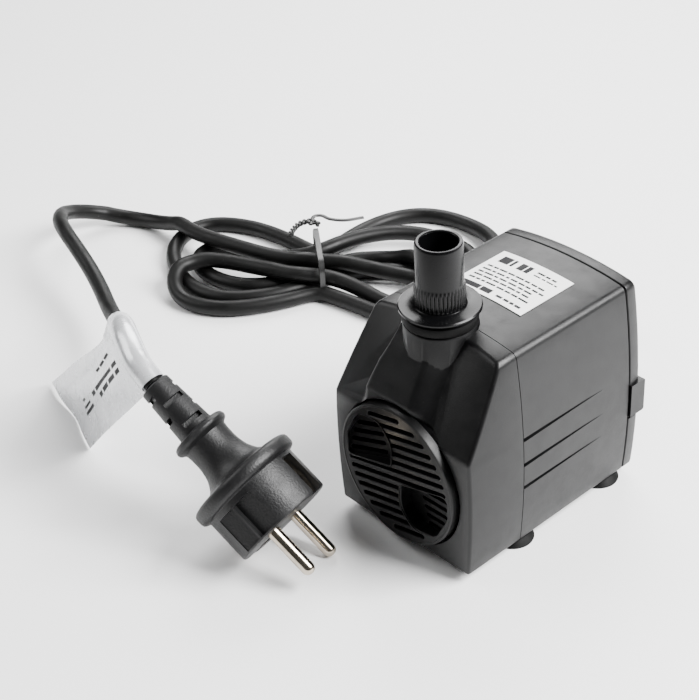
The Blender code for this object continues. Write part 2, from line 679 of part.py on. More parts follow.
def make_coils():
    low, high = COIL_Z
    middle_y = sum(CORE_SPAN) / 2
    limb_x, limb_y = LIMB_WIDTH / 2 + GAP, (CORE_SPAN[1] - CORE_SPAN[0]) / 2 + GAP
    for name, side in (("left", -1), ("right", 1)):
        centre = (side * LIMB_X, middle_y)
        tube, hole = rectangle_ring(limb_x + 0.9, limb_y + 0.9, 0.9, low - 0.3, high + 0.3, centre)
        bobbin = new_object(f"bobbin_{name}", tube, "bobbin_plastic")
        reach_x, reach_y = limb_x + 4.3, limb_y + 5.2
        for k, level in enumerate((low - 1.3, high + 0.3)):
            flange = block((centre[0] - reach_x, centre[1] - reach_y, level),
                           (centre[0] + reach_x, centre[1] + reach_y, level + 1.0))
            fuse(bobbin, f"bobbin_flange_{name}_{k + 1}", flange)
        cut(bobbin, f"bobbin_hole_{name}", hole)
        winding, core = rectangle_ring(limb_x + 4.1, limb_y + 4.9, 2.9, low, high, centre)
        coil = new_object(f"coil_{name}", winding, "copper")
        bevel = coil.modifiers.new("winding_corners", "BEVEL")
        bevel.width = 1.6 * MM
        bevel.segments = 2
        bevel.limit_method = "ANGLE"
        cut(coil, f"coil_hole_{name}", core)


def make_potting():
    low, high = POTTING_SPAN
    slab = new_object("potting_block", prism(case_outline(WALL + GAP), low, high), "resin")
    bores = [rod_y(1.5, low - 1.0, high + 1.0, spot, 12)
             for spot in ((CABLE_X - 4.0, 58.0), (CABLE_X + 4.0, 58.0))]
    cut(slab, "lead_bores", joined(*bores))


def make_inner_leads():
    """Insulated leads from the cable through the potting to the windings."""
    for name, side, surface in (("live_lead", -1, "core_brown"), ("neutral_lead", 1, "core_blue")):
        x = CABLE_X + side * 4.0
        route = [(x, 23.6, 58.0), (x, 30.0, 58.0), (x, 35.6, 57.4), (x, 37.9, 51.0),
                 (x + side * -1.0, 38.0, 42.0), (x + side * -1.8, 37.9, 33.5)]
        make_tube(name, route, 2.0, surface, 3.0, 2)


def make_thermal_fuse():
    body = rod_z(1.6, 50.0, 60.0, (0.0, 20.0), 16)
    new_object("thermal_fuse", body, "steel")


# ---- outlet ----
def make_outlet(cover):
    centre = Matrix.Translation((0.0, OUTLET_Y, 0.0))
    pivot = (0.0, OUTLET_Y, BOSS_TOP_Z)
    inner = SPIGOT_RADIUS + GAP
    outer = BOSS_RADIUS + 0.1
    low, high = BOSS_TOP_Z + GAP, SEAL_TOP_Z
    profile = [(inner, low), (outer - 0.5, low), (outer, low + 0.5), (outer, high - 0.8),
               (outer - 0.8, high), (inner, high)]
    seal = new_object("outlet_seal", moved(turned(profile, 32), centre), "rubber", pivot)
    bore = DUCT_RADIUS - 0.05
    bottom, top = 71.0, NOZZLE_TOP_Z
    flange_low = FLANGE_TOP_Z - FLANGE_THICKNESS
    knurl = KNURL_RADIUS - 0.2
    profile = [(bore, bottom), (SPIGOT_RADIUS - 0.6, bottom), (SPIGOT_RADIUS, bottom + 1.0),
               (SPIGOT_RADIUS, SEAL_TOP_Z + GAP), (11.2, SEAL_TOP_Z + GAP), (11.2, flange_low),
               (FLANGE_RADIUS, flange_low), (FLANGE_RADIUS, FLANGE_TOP_Z),
               (TUBE_RADIUS, FLANGE_TOP_Z), (TUBE_RADIUS, KNURL_BOTTOM_Z),
               (KNURL_RADIUS, KNURL_BOTTOM_Z), (KNURL_RADIUS, KNURL_BOTTOM_Z + 0.7),
               (knurl, KNURL_BOTTOM_Z + 1.0), (knurl - 0.2, KNURL_TOP_Z), (TUBE_RADIUS, KNURL_TOP_Z),
               (TUBE_RADIUS, top - 0.7), (TUBE_RADIUS - 0.6, top), (bore + 0.5, top),
               (bore, top - 0.5)]
    nozzle = new_object("outlet_nozzle", moved(turned(profile, 32), centre), "case_plastic", pivot)
    for piece in (seal, nozzle):
        piece.parent = cover


# ---- feet and label ----
def make_suction_cups():
    profile = [(0, 1.8), (3.6, 1.8), (6.4, 0.3), (6.8, 0.0), (CUP_RADIUS - 0.2, 0.0),
               (CUP_RADIUS, 0.5),
               (5.6, 2.3), (3.4, 3.2), (2.05, 3.2), (2.05, 5.6), (0, 5.6)]
    names = {(1, 0): "front_right", (-1, 0): "front_left", (1, 1): "rear_right", (-1, 1): "rear_left"}
    for (side, end), name in names.items():
        place = Matrix.Translation((side * CUP_X, CUP_Y[end], 0.0))
        new_object(f"suction_cup_{name}", moved(turned(profile, 20), place), "rubber")


def make_label():
    """Film label lying on the crowned top."""
    rings = []
    steps = 6
    for lift in (0.1, 0.3):
        ring = []
        xs = [LABEL_HALF * (2 * i / steps - 1) for i in range(steps + 1)]
        ring += [(x, LABEL_SPAN[0], top_height(x) + lift) for x in xs]
        ring += [(x, LABEL_SPAN[1], top_height(x) + lift) for x in reversed(xs)]
        rings.append(ring)
    new_object("rating_label", loft(rings), "label_film")


# ---- mains lead ----
def make_tube(name, route, diameter, surface, spacing, resolution):
    """Round cord along a smooth path, with flat ends."""
    path = smooth_path(route, spacing)
    curve = bpy.data.curves.new(name, "CURVE")
    curve.dimensions = "3D"
    curve.bevel_depth = diameter / 2 * MM
    curve.bevel_resolution = resolution
    curve.use_fill_caps = True
    spline = curve.splines.new("POLY")
    spline.points.add(len(path) - 1)
    for point, place in zip(spline.points, path):
        point.co = (*(place * MM), 1.0)
    curve.materials.append(finish(surface))
    made = bpy.data.objects.new(name, curve)
    bpy.context.scene.collection.objects.link(made)
    return made


def make_strain_relief():
    """Tapered rubber sleeve with a flange behind the rear cover."""
    body = along_y(turned([(0, 38.4), (7.6, 38.4), (7.6, 40.3), (5.8, 40.3), (5.8, 47.5),
                           (4.5, RELIEF_END_Y), (0, RELIEF_END_Y)], 24), (CABLE_X, CABLE_Z))
    relief = new_object("strain_relief", body, "rubber")
    slots = []
    for i in range(4):
        y = 50.5 + 5.4 * i
        reach = 9.0
        if i % 2:
            slots.append(block((CABLE_X - reach, y, CABLE_Z + 3.8), (CABLE_X + reach, y + 1.8, 40.0)))
            slots.append(block((CABLE_X - reach, y, 5.0), (CABLE_X + reach, y + 1.8, CABLE_Z - 3.8)))
        else:
            slots.append(block((CABLE_X + 3.8, y, 10.0), (CABLE_X + reach, y + 1.8, 35.0)))
            slots.append(block((CABLE_X - reach, y, 10.0), (CABLE_X - 3.8, y + 1.8, 35.0)))
    cut(relief, "relief_slots", joined(*slots))


def make_hank():
    outline = rounded(HANK_OUTLINE, 4)
    low, high = HANK_HEIGHT
    hank = new_object("cord_hank", prism(outline, low, high, "Z"), "cord_rubber")
    waist = Matrix.Rotation(math.radians(TIE_ACROSS), 4, "Z")
    waist = Matrix.Translation((*TIE_CENTRE, 0.0)) @ waist
    reach = TIE_HALF + 20.0
    for name, side in (("waist_near", 1), ("waist_far", -1)):
        lower, upper = sorted((side * (TIE_HALF - TIE_THICKNESS - GAP), side * reach))
        slot = block((lower, -TIE_WIDTH, -1.0), (upper, TIE_WIDTH, 20.0))
        cut(hank, name, moved(slot, waist))
    groove_low = block((-reach, -TIE_WIDTH, -1.0), (reach, TIE_WIDTH, 1.4))
    cut(hank, "waist_under", moved(groove_low, waist))
    half, tall = TIE_HALF, 1.1
    outer = block((-half, -TIE_WIDTH / 2, 0.2), (half, TIE_WIDTH / 2, high + tall + 0.3))
    inner = block((-half + TIE_THICKNESS, -TIE_WIDTH, 0.2 + TIE_THICKNESS),
                  (half - TIE_THICKNESS, TIE_WIDTH, high + GAP))
    tie = new_object("twist_tie", moved(outer, waist), "rubber")
    cut(tie, "tie_opening", moved(inner, waist))


def make_tag():
    """Film tag folded round the lead behind the plug, with its flap hanging to the floor."""
    route = smooth_path(PLUG_LEAD_ROUTE, TAG_STEP)
    first = round(TAG_START / TAG_STEP)
    spans = round(TAG_WIDTH / TAG_STEP)
    near, far = (Vector(corner) for corner in TAG_FAR_EDGE)
    inner_reach = CORD_DIAMETER / 2 + TAG_CLEARANCE
    outer_reach = inner_reach + TAG_THICKNESS
    meeting = TAG_MEETING * outer_reach
    start = math.degrees(math.acos(1 / TAG_MEETING))
    half = TAG_THICKNESS / 2
    rings = []
    for i in range(spans + 1):
        spot = route[first + i]
        tangent = (route[first + i + 1] - route[first + i - 1]).normalized()
        flap = near.lerp(far, i / spans) - spot
        flap_way = (flap - tangent * flap.dot(tangent)).normalized()
        side = tangent.cross(flap_way)
        wrap = [(meeting, 3 * half)] + arc((0.0, 0.0), outer_reach, start, 360 - start, 8)
        inside = arc((0.0, 0.0), inner_reach, 360 - start, start, 8) + [(meeting, 2 * half)]
        spine = [(spot + flap_way * meeting).lerp(spot + flap, k / TAG_LEAF_SPANS)
                 for k in range(TAG_LEAF_SPANS + 1)]
        ring = [spot + flap_way * a + side * b for a, b in wrap]
        ring += [point - side * half for point in spine]
        ring += [point + side * half for point in reversed(spine)]
        rings.append(ring + [spot + flap_way * a + side * b for a, b in inside])
    new_object("cable_tag", loft(rings), "tag_film")


# ---- mains plug ----
def plug_frame():
    """Empty at the plug's face, with +Z along its pins."""
    frame = bpy.data.objects.new("plug_frame", None)
    bpy.context.scene.collection.objects.link(frame)
    turn = (Matrix.Rotation(math.radians(PLUG_YAW), 4, "Z")
            @ Matrix.Rotation(math.radians(90 + PLUG_DIP), 4, "Y")
            @ Matrix.Rotation(math.radians(PLUG_ROLL), 4, "Z"))
    frame.matrix_world = Matrix.Translation(PLUG_FACE * MM) @ turn
    return frame


def make_plug():
    frame = plug_frame()
    length = PLUG_LENGTH
    profile = [(0, -length), (5.6, -length), (6.8, -43.6), (8.6, -43.6), (10.4, -42.9),
               (10.8, -41.7), (10.2, -40.4), (8.7, -39.6), (8.4, -34.0), (8.9, -30.0),
               (10.2, -26.6), (12.4, -23.9), (PLUG_FLANGE_RADIUS - 1.4, -22.4),
               (PLUG_FLANGE_RADIUS - 0.3, -21.6), (PLUG_FLANGE_RADIUS, -20.0),
               (PLUG_FLANGE_RADIUS - 0.4, -18.2), (PLUG_FLANGE_RADIUS - 1.6, -17.2),
               (PLUG_BODY_RADIUS, -17.0),
               (PLUG_BODY_RADIUS, -0.6), (PLUG_BODY_RADIUS - 0.6, 0.0), (0, 0.0)]
    body = new_object("plug_body", turned(profile, 32), "rubber")
    guides = []
    for side in (-1, 1):
        for shelf in (-1, 1):
            x_low, x_high = sorted((side * 14.6, side * 22.0))
            y_low, y_high = sorted((shelf * 1.0, shelf * 8.2))
            guides.append(block((x_low, y_low, -14.6), (x_high, y_high, -0.8)))
    helpers = [cut(body, "plug_guides", joined(*guides))]
    channels = [block((-3.3, 14.6, -15.6), (3.3, 22.0, 1.0)),
                block((-3.3, -22.0, -15.6), (3.3, -14.6, 1.0))]
    helpers.append(cut(body, "plug_channels", joined(*channels)))
    socket = rod_z(3.4, -14.0, 1.0, (0.0, -10.0), 20)
    pins = [rod_z(PIN_RADIUS + GAP, -8.0, 1.0, (side * PIN_SPACING / 2, 0.0), 20)
            for side in (-1, 1)]
    helpers.append(cut(body, "plug_bores", joined(socket, *pins)))
    slots = []
    for i in range(4):
        z = -62.0 + 4.7 * i
        if i % 2:
            slots.append(block((4.3, -7.5, z), (8.0, 7.5, z + 1.9)))
            slots.append(block((-8.0, -7.5, z), (-4.3, 7.5, z + 1.9)))
        else:
            slots.append(block((-7.5, 4.3, z), (7.5, 8.0, z + 1.9)))
            slots.append(block((-7.5, -8.0, z), (7.5, -4.3, z + 1.9)))
    helpers.append(cut(body, "plug_relief_slots", joined(*slots)))
    pieces = [body]
    for name, side in (("plug_pin_left", -1), ("plug_pin_right", 1)):
        tip = PIN_LENGTH
        pin = turned([(0, -7.0), (PIN_RADIUS, -7.0), (PIN_RADIUS, tip - 2.0), (1.9, tip - 0.7),
                      (1.0, tip), (0, tip)], 20)
        place = Matrix.Translation((side * PIN_SPACING / 2, 0.0, 0.0))
        pieces.append(new_object(name, moved(pin, place), "nickel"))
    for name, side in (("earth_clip_upper", 1), ("earth_clip_lower", -1)):
        y_low, y_high = sorted((side * 14.9, side * 15.7))
        strip = block((-2.9, y_low, -15.2), (2.9, y_high, -0.4))
        pieces.append(new_object(name, strip, "nickel"))
    sleeve = turned([(2.5, -13.0), (3.1, -13.0), (3.1, -0.3), (2.5, -0.3)], 20)
    place = Matrix.Translation((0.0, -10.0, 0.0))
    pieces.append(new_object("earth_socket", moved(sleeve, place), "nickel"))
    for piece in pieces + helpers:
        piece.parent = frame


def build():
    clear_scene()
    cover = make_front_cover()
    make_flow_dial(cover)
    make_motor_housing()
    make_rear_cover()
    make_pump_chamber()
    make_intake_plate()
    make_chamber_seal()
    make_rotor()
    make_shaft_and_bushes()
    make_stator()
    make_coils()
    make_potting()
    make_inner_leads()
    make_thermal_fuse()
    make_outlet(cover)
    make_suction_cups()
    make_label()
    make_strain_relief()
    make_tube("cord_pump_lead", PUMP_LEAD_ROUTE, CORD_DIAMETER, "cord_rubber", 9.0, 2)
    make_hank()
    make_tube("cord_plug_lead", PLUG_LEAD_ROUTE, CORD_DIAMETER, "cord_rubber", 8.0, 2)
    make_tag()
    make_plug()


build()
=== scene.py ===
"""Looks of the fountain pump: camera, light, cord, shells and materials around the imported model.

Sizes are in millimetres and are turned into metres as each mesh is made.
"""
import json
import math

import bmesh
import bpy
import numpy as np
from mathutils import Matrix, Vector


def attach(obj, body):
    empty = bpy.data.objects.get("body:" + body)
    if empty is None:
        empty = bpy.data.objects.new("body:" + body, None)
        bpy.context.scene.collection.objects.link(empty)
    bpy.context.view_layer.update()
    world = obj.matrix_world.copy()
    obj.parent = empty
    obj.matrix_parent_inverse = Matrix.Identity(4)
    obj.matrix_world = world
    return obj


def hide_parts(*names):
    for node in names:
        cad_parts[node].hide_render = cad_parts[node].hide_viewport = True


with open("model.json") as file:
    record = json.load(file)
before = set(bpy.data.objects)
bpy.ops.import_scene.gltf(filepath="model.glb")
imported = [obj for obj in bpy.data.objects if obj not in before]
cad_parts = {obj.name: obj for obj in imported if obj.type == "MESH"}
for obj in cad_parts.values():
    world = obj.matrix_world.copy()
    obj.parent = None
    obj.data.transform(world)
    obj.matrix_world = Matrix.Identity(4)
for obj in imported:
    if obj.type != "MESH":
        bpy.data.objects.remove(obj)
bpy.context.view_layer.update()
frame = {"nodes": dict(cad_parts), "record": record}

MM = 0.001

# ---- driving dimensions, millimetres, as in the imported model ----
FLOOR_GAP = 3.5
CASE_HEIGHT = 75.7
TOP_CROWN = 2.5
WAIST_HALF = 32.0
FOOT_HALF = 30.7
SHOULDER_HALF = 28.1
TOP_EDGE_RADIUS = 3.0
FOOT_EDGE_RADIUS = 1.2
WALL = 2.2
FRONT_Y = -43.07
CREASE_Z = 50.2
SLOPE_TOP_Y = -25.2
SLOPE_RATE = (SLOPE_TOP_Y - FRONT_Y) / (FLOOR_GAP + CASE_HEIGHT - CREASE_Z)
SEAM_Y = -17.4
REAR_SEAM_Y = 36.75
REAR_SEAM_GAP = 0.8
REAR_Y = 43.07
BULKHEAD_Y = -10.0
BULKHEAD_THICKNESS = 2.5
WELL_RADIUS = 11.0
WELL_WALL = 1.5
WELL_END_Y = 18.0
CABLE_X = -15.0
CABLE_Z = 22.0
COLLAR_END_Y = 45.6
COLLAR_RADIUS = 9.5
CABLE_HOLE_RADIUS = 6.2
RELIEF_END_Y = 73.0

DIAL_Z = 31.1
DIAL_RADIUS = 26.5
DIAL_HOLE_RADIUS = 27.0
DIAL_FACE_Y = -45.6
DIAL_THICKNESS = 3.2
DIAL_TURN = 13.5
SLOT_COUNT = 14
SLOT_PITCH = 3.4
SLOT_WIDTH = 1.75
SLOT_MARGIN = 3.1
SCOOP_DEPTH = 5.0
SCOOP_WALL = 1.1
SCOOP_RISE = 0.045         # share of the scoop's depth lost for each mm towards the rim
SCOOP_FLAT_X = 6.0
SCOOP_LIP = 0.42
SCOOP_LIP_FALL = 0.03
RAMP_SLOT_START = 7.5
FACE_STEP = 0.15           # the slotted face lies this far behind the rim
HUB_RADIUS = 4.2
HUB_END_Y = -37.2
HUB_PIN_RADIUS = 1.9
HUB_PIN_END_Y = -34.9
DIAL_HOLE_END_Y = -40.0
CUP_RECESS_RADIUS = 26.3
CUP_RECESS_END_Y = -38.9

OUTLET_Y = -22.8
NOSE_START_Z = 50
NOSE_END_Z = 81
BOSS_START_Z = 58.0
BOSS_RADIUS = 12.5
BOSS_TOP_Z = 83.0
THROAT_RADIUS = 6.2
SOCKET_RADIUS = 8.4
SOCKET_FLOOR_Z = 70.0
SPIGOT_RADIUS = 8.0
SEAL_TOP_Z = 86.6
SPIGOT_END_Z = 71.0
FLANGE_STEP_RADIUS = 11.4
FLANGE_LOW_Z = 88.1
FLANGE_RADIUS = 13.85
FLANGE_TOP_Z = 89.3
TUBE_RADIUS = 7.95
TUBE_BORE = 6.15
KNURL_RADIUS = 8.5
KNURL_BOTTOM_Z = 90.2
KNURL_TOP_Z = 97.4
KNURL_COUNT = 38
NOZZLE_TOP_Z = 112.2

CUP_RADIUS = 7.5
CUP_HOLE_RADIUS = 2.4
CUP_X = 24.4
CUP_Y = (-14.2, 31.0)

PLUG_FACE = Vector((-23.4, -76.1, 15.45))
PLUG_YAW = 10.8
PLUG_DIP = 34.4
PLUG_ROLL = 64.6
PLUG_BODY_RADIUS = 18.5
PLUG_FLANGE_RADIUS = 21.0
PIN_RADIUS = 2.4
PIN_LENGTH = 19.0
PIN_SPACING = 19.0
PLUG_LENGTH = 65.0
RELIEF_TURN = -45.0
EARTH_Y = -10.0
CLIP_START = -15.2
CLIP_LENGTH = 14.8

CORD_DIAMETER = 6.8
CORD_RADIUS = CORD_DIAMETER / 2

LABEL_HALF = 15.8
LABEL_SPAN = (-1.9, 24.8)
GROOVE_HEIGHTS = (46.8, 36.7, 27.2)
TIE_WIDTH = 2.6
TIE_THICKNESS = 0.8
TIE_LOW = 0.2
TIE_HIGH = 18.6
TAG_START = 0.9
TAG_WIDTH = 51.0
TAG_CLEARANCE = 0.9
TAG_THICKNESS = 0.35
TAG_FAR_EDGE = ((-123.6, -88.7, 0.9), (-169.8, -74.3, 0.9))

# ---- cord routes, centre line ----
PLUG_LEAD_ROUTE = [
    (-76.5, -86.2, 52.4), (-84.7, -86.1, 57.4), (-93.8, -83.1, 60.4), (-103.1, -78.9, 59.9),
    (-111.5, -74.6, 55.9), (-118.9, -70.2, 50.0), (-126.0, -65.6, 44.1), (-136.9, -58.8, 35.6),
    (-148.7, -52.3, 28.1), (-161.4, -46.1, 22.2), (-175.2, -40.1, 19.5), (-189.2, -34.1, 19.3),
    (-203.6, -29.0, 20.5), (-218.3, -25.1, 22.9), (-233.0, -21.0, 24.0), (-246.9, -14.8, 21.9),
    (-258.2, -5.6, 17.3), (-263.1, 7.1, 11.0), (-259.6, 20.4, 5.5), (-249.1, 30.5, 3.6),
    (-240.0, 33.4, 3.5), (-231.4, 34.4, 3.5),
]
PUMP_LEAD_ROUTE = [
    (CABLE_X, RELIEF_END_Y + 0.3, CABLE_Z), (CABLE_X, 80.0, CABLE_Z), (-16.6, 90.0, 19.2),
    (-22.8, 98.8, 13.6), (-33.5, 104.2, 7.8), (-45.0, 104.8, 4.6), (-56.0, 102.6, 3.6),
    (-66.0, 99.4, 3.5), (-75.0, 96.6, 3.5), (-84.0, 95.2, 3.5),
]

# ---- the hank: each turn's points from the tie round one end and back, (x, y, z) ----
LEFT_ENDS = [
    [(-165, 62, 3.4), (-184, 63, 3.4), (-202, 61, 3.4), (-214, 56, 3.4), (-224, 49, 3.4),
     (-227, 40, 3.4), (-225, 31, 3.4), (-218, 22, 3.4), (-209, 15, 3.4), (-197, 9, 3.4),
     (-186, 5.5, 3.4), (-175, 5, 3.4), (-165, 8, 3.4), (-157, 17, 3.4), (-151, 27, 3.4),
     (-147, 38, 3.4)],
    [(-160, 52, 8.5), (-168, 47, 7.0), (-177, 45, 5.5), (-188, 45, 4.4), (-199, 43, 3.6),
     (-207, 36, 3.4), (-207, 27, 3.4), (-200, 20, 3.4), (-190, 17, 3.4), (-179, 17, 3.4),
     (-168, 20, 3.4), (-160, 27, 3.4), (-155, 37, 3.4)],
    [(-142, 40, 10.2), (-154, 35, 10.2), (-173, 30, 10.6), (-185, 25.5, 10.6), (-193, 19, 10.4),
     (-196, 10, 9.2), (-192.5, 0.5, 6.6), (-185, -3.5, 4.2), (-174, -4, 3.4), (-163, 0.5, 3.4),
     (-154, 9, 3.4), (-148, 20, 3.4), (-143, 32, 3.4)],
]
RIGHT_ENDS = [
    [(-140, 61, 10.2), (-128, 68, 9.0), (-114, 75, 8.0), (-103, 84, 9.5), (-97, 96, 10.2),
     (-98, 110, 10.0), (-106, 121, 8.0), (-119, 127, 6.0), (-133, 129, 4.4), (-146, 127, 3.4),
     (-156, 122, 3.4), (-163, 112, 3.4), (-165, 100, 3.4), (-165, 86, 3.4)],
    [(-141, 67, 3.4), (-130, 77, 3.4), (-117, 84, 3.4), (-107, 92, 3.4), (-103, 101, 3.4),
     (-107, 110, 3.4), (-117, 113, 3.6), (-129, 111, 5.5), (-140, 105, 8.0), (-148, 96, 9.8),
     (-154, 84, 10.2), (-158, 72, 10.2)],
    [(-151, 71, 3.4), (-146, 79, 3.4), (-137, 84, 4.0), (-126, 84, 7.0), (-113, 82, 9.6),
     (-101, 80, 9.8), (-93, 73, 8.0), (-93, 64, 5.0), (-101, 57, 4.0), (-113, 54, 5.0),
     (-125, 54, 8.0)],
]
LEAD_OVER_HANK = [
    (-222, 33, 8.2), (-211, 29.5, 11.4), (-199, 32, 12.0), (-187, 35, 12.4), (-174, 38, 12.4),
    (-162, 42, 11.4),
]
LAST_TO_PUMP_LEAD = [
    (-133, 44, 3.4), (-120, 47, 3.4), (-107, 46, 3.4), (-96, 50, 3.4), (-90, 60, 3.4),
    (-88.5, 72, 3.4), (-87, 84, 3.4),
]
TIE_LANES = {
    "lead": (-150.5, 53.0, 10.2), "back": (-158.5, 60.0, 3.4), "back_mid": (-152.8, 55.7, 3.4),
    "front_mid": (-147.2, 51.4, 3.4), "front": (-142.0, 47.3, 3.4),
    "back_top": (-156.0, 58.3, 10.2), "front_top": (-145.0, 48.6, 10.2),
}
TIE_CENTRE = (-150.5, 53.0)
TIE_ACROSS = 323.0
TIE_HALF = 17.2

SMOOTH_ANGLE = 32.0
DIAL_SMOOTH = 28.0


# ---- helpers ----
def smooth_path(points, spacing):
    """Evenly spaced points on a smooth curve through the route's points."""
    route = [Vector(point) for point in points]
    ends = [2 * route[0] - route[1]] + route + [2 * route[-1] - route[-2]]
    dense = []
    for before, start, end, after in zip(ends, ends[1:], ends[2:], ends[3:]):
        for k in range(24):
            t = k / 24
            dense.append(0.5 * ((2 * start) + (end - before) * t
                                + (2 * before - 5 * start + 4 * end - after) * t ** 2
                                + (3 * start - before - 3 * end + after) * t ** 3))
    dense.append(route[-1])
    length = sum((b - a).length for a, b in zip(dense, dense[1:]))
    count = max(2, round(length / spacing))
    wanted = [length * i / count for i in range(count + 1)]
    spaced = [dense[0]]
    travelled = 0.0
    for a, b in zip(dense, dense[1:]):
        step = (b - a).length
        while len(spaced) < count and travelled + step >= wanted[len(spaced)]:
            spaced.append(a.lerp(b, (wanted[len(spaced)] - travelled) / step))
        travelled += step
    spaced.append(dense[-1])
    return spaced


def add_mesh(name, shape, material, smooth_angle=SMOOTH_ANGLE):
    """Object from a bmesh in millimetres."""
    bmesh.ops.recalc_face_normals(shape, faces=shape.faces)
    bmesh.ops.scale(shape, vec=(MM, MM, MM), verts=shape.verts)
    mesh = bpy.data.meshes.new(name)
    shape.to_mesh(mesh)
    shape.free()
    mesh.shade_smooth()
    mesh.set_sharp_from_angle(angle=math.radians(smooth_angle))
    made = bpy.data.objects.new(name, mesh)
    made.data.materials.append(material)
    bpy.context.scene.collection.objects.link(made)
    return made


def bake(item, smooth_angle=SMOOTH_ANGLE):
    """Apply the modifiers of an object to its mesh."""
    graph = bpy.context.evaluated_depsgraph_get()
    mesh = bpy.data.meshes.new_from_object(item.evaluated_get(graph))
    item.modifiers.clear()
    item.data = mesh
    mesh.shade_smooth()
    mesh.set_sharp_from_angle(angle=math.radians(smooth_angle))


def combine(target, operation, shape, smooth_angle=SMOOTH_ANGLE):
    """Boolean of the target with a shape in millimetres."""
    tool = add_mesh("tool", shape, target.data.materials[0])
    modifier = target.modifiers.new("combine", "BOOLEAN")
    modifier.operation = operation
    modifier.solver = "EXACT"
    modifier.object = tool
    bake(target, smooth_angle)
    bpy.data.objects.remove(tool)


def cut(target, *shapes):
    combine(target, "DIFFERENCE", joined(*shapes))


def add(target, *shapes):
    combine(target, "UNION", joined(*shapes))


def loft(rings, closed=False):
    """Solid through rings of equal length, capped at both ends unless it closes on itself."""
    shape = bmesh.new()
    loops = [[shape.verts.new(point) for point in ring] for ring in rings]
    count = len(loops[0])
    pairs = list(zip(loops, loops[1:]))
    if closed:
        pairs.append((loops[-1], loops[0]))
    for lower, upper in pairs:
        for i in range(count):
            j = (i + 1) % count
            shape.faces.new((lower[i], lower[j], upper[j], upper[i]))
    if not closed:
        shape.faces.new(loops[0][::-1])
        shape.faces.new(loops[-1])
    return shape


def prism(outline, low, high, axis="Y"):
    """Outline pushed along an axis: Y takes (x, z), X takes (y, z), Z takes (x, y)."""
    place = {"X": lambda a, b, end: (end, a, b), "Y": lambda a, b, end: (a, end, b),
             "Z": lambda a, b, end: (a, b, end)}[axis]
    return loft([[place(a, b, end) for a, b in outline] for end in (low, high)])


def block(low, high):
    corners = [(low[0], low[1]), (high[0], low[1]), (high[0], high[1]), (low[0], high[1])]
    return prism(corners, low[2], high[2], "Z")


def turned(profile, steps=72):
    """Solid of revolution about Z; a point on the axis stands for a flat cap."""
    angles = [2 * math.pi * i / steps for i in range(steps)]
    rings = [[(radius * math.cos(a), radius * math.sin(a), height) for a in angles]
             for radius, height in profile if radius > 0]
    return loft(rings, closed=len(rings) == len(profile))


def moved(shape, matrix):
    bmesh.ops.transform(shape, matrix=matrix, verts=shape.verts)
    return shape


def shifted(shape, x, y, z=0.0):
    return moved(shape, Matrix.Translation((x, y, z)))


def along_y(shape, centre):
    """Turn a shape made about Z so that its axis is +Y, through (x, z)."""
    turn = Matrix.Rotation(math.radians(-90), 4, "X")
    return moved(shape, Matrix.Translation((centre[0], 0.0, centre[1])) @ turn)


def rod(radius, low, high, steps=72):
    return turned([(0, low), (radius, low), (radius, high), (0, high)], steps)


def rod_y(radius, low, high, centre):
    return along_y(rod(radius, low, high), centre)


def rod_z(radius, low, high, centre, steps=72):
    return shifted(rod(radius, low, high, steps), *centre)


def joined(*shapes):
    """One bmesh holding several shapes."""
    first = shapes[0]
    for other in shapes[1:]:
        spare = bpy.data.meshes.new("spare")
        other.to_mesh(spare)
        other.free()
        first.from_mesh(spare)
        bpy.data.meshes.remove(spare)
    return first


def arc(centre, radius, start, end, steps):
    """Points on an arc between two angles in degrees."""
    angles = [math.radians(start + (end - start) * i / steps) for i in range(steps + 1)]
    return [(centre[0] + radius * math.cos(a), centre[1] + radius * math.sin(a)) for a in angles]


def rounded(corners, steps=6):
    """Outline from (a, b, radius) corners, with each corner as an arc."""
    points = []
    count = len(corners)
    for i, (a, b, radius) in enumerate(corners):
        here = Vector((a, b))
        if radius <= 0:
            points.append((a, b))
            continue
        before = (Vector(corners[i - 1][:2]) - here).normalized()
        after = (Vector(corners[(i + 1) % count][:2]) - here).normalized()
        half = before.angle(after) / 2
        centre = here + (before + after).normalized() * (radius / math.sin(half))
        start = here + before * (radius / math.tan(half)) - centre
        end = here + after * (radius / math.tan(half)) - centre
        sweep = start.angle_signed(end)
        for k in range(steps + 1):
            turn = Matrix.Rotation(-sweep * k / steps, 2)
            points.append(tuple(centre + turn @ start))
    return points


# ---- materials ----
def scaled(colour, factor, lift=0.0):
    return tuple(min(1.0, factor * part + lift) for part in colour)


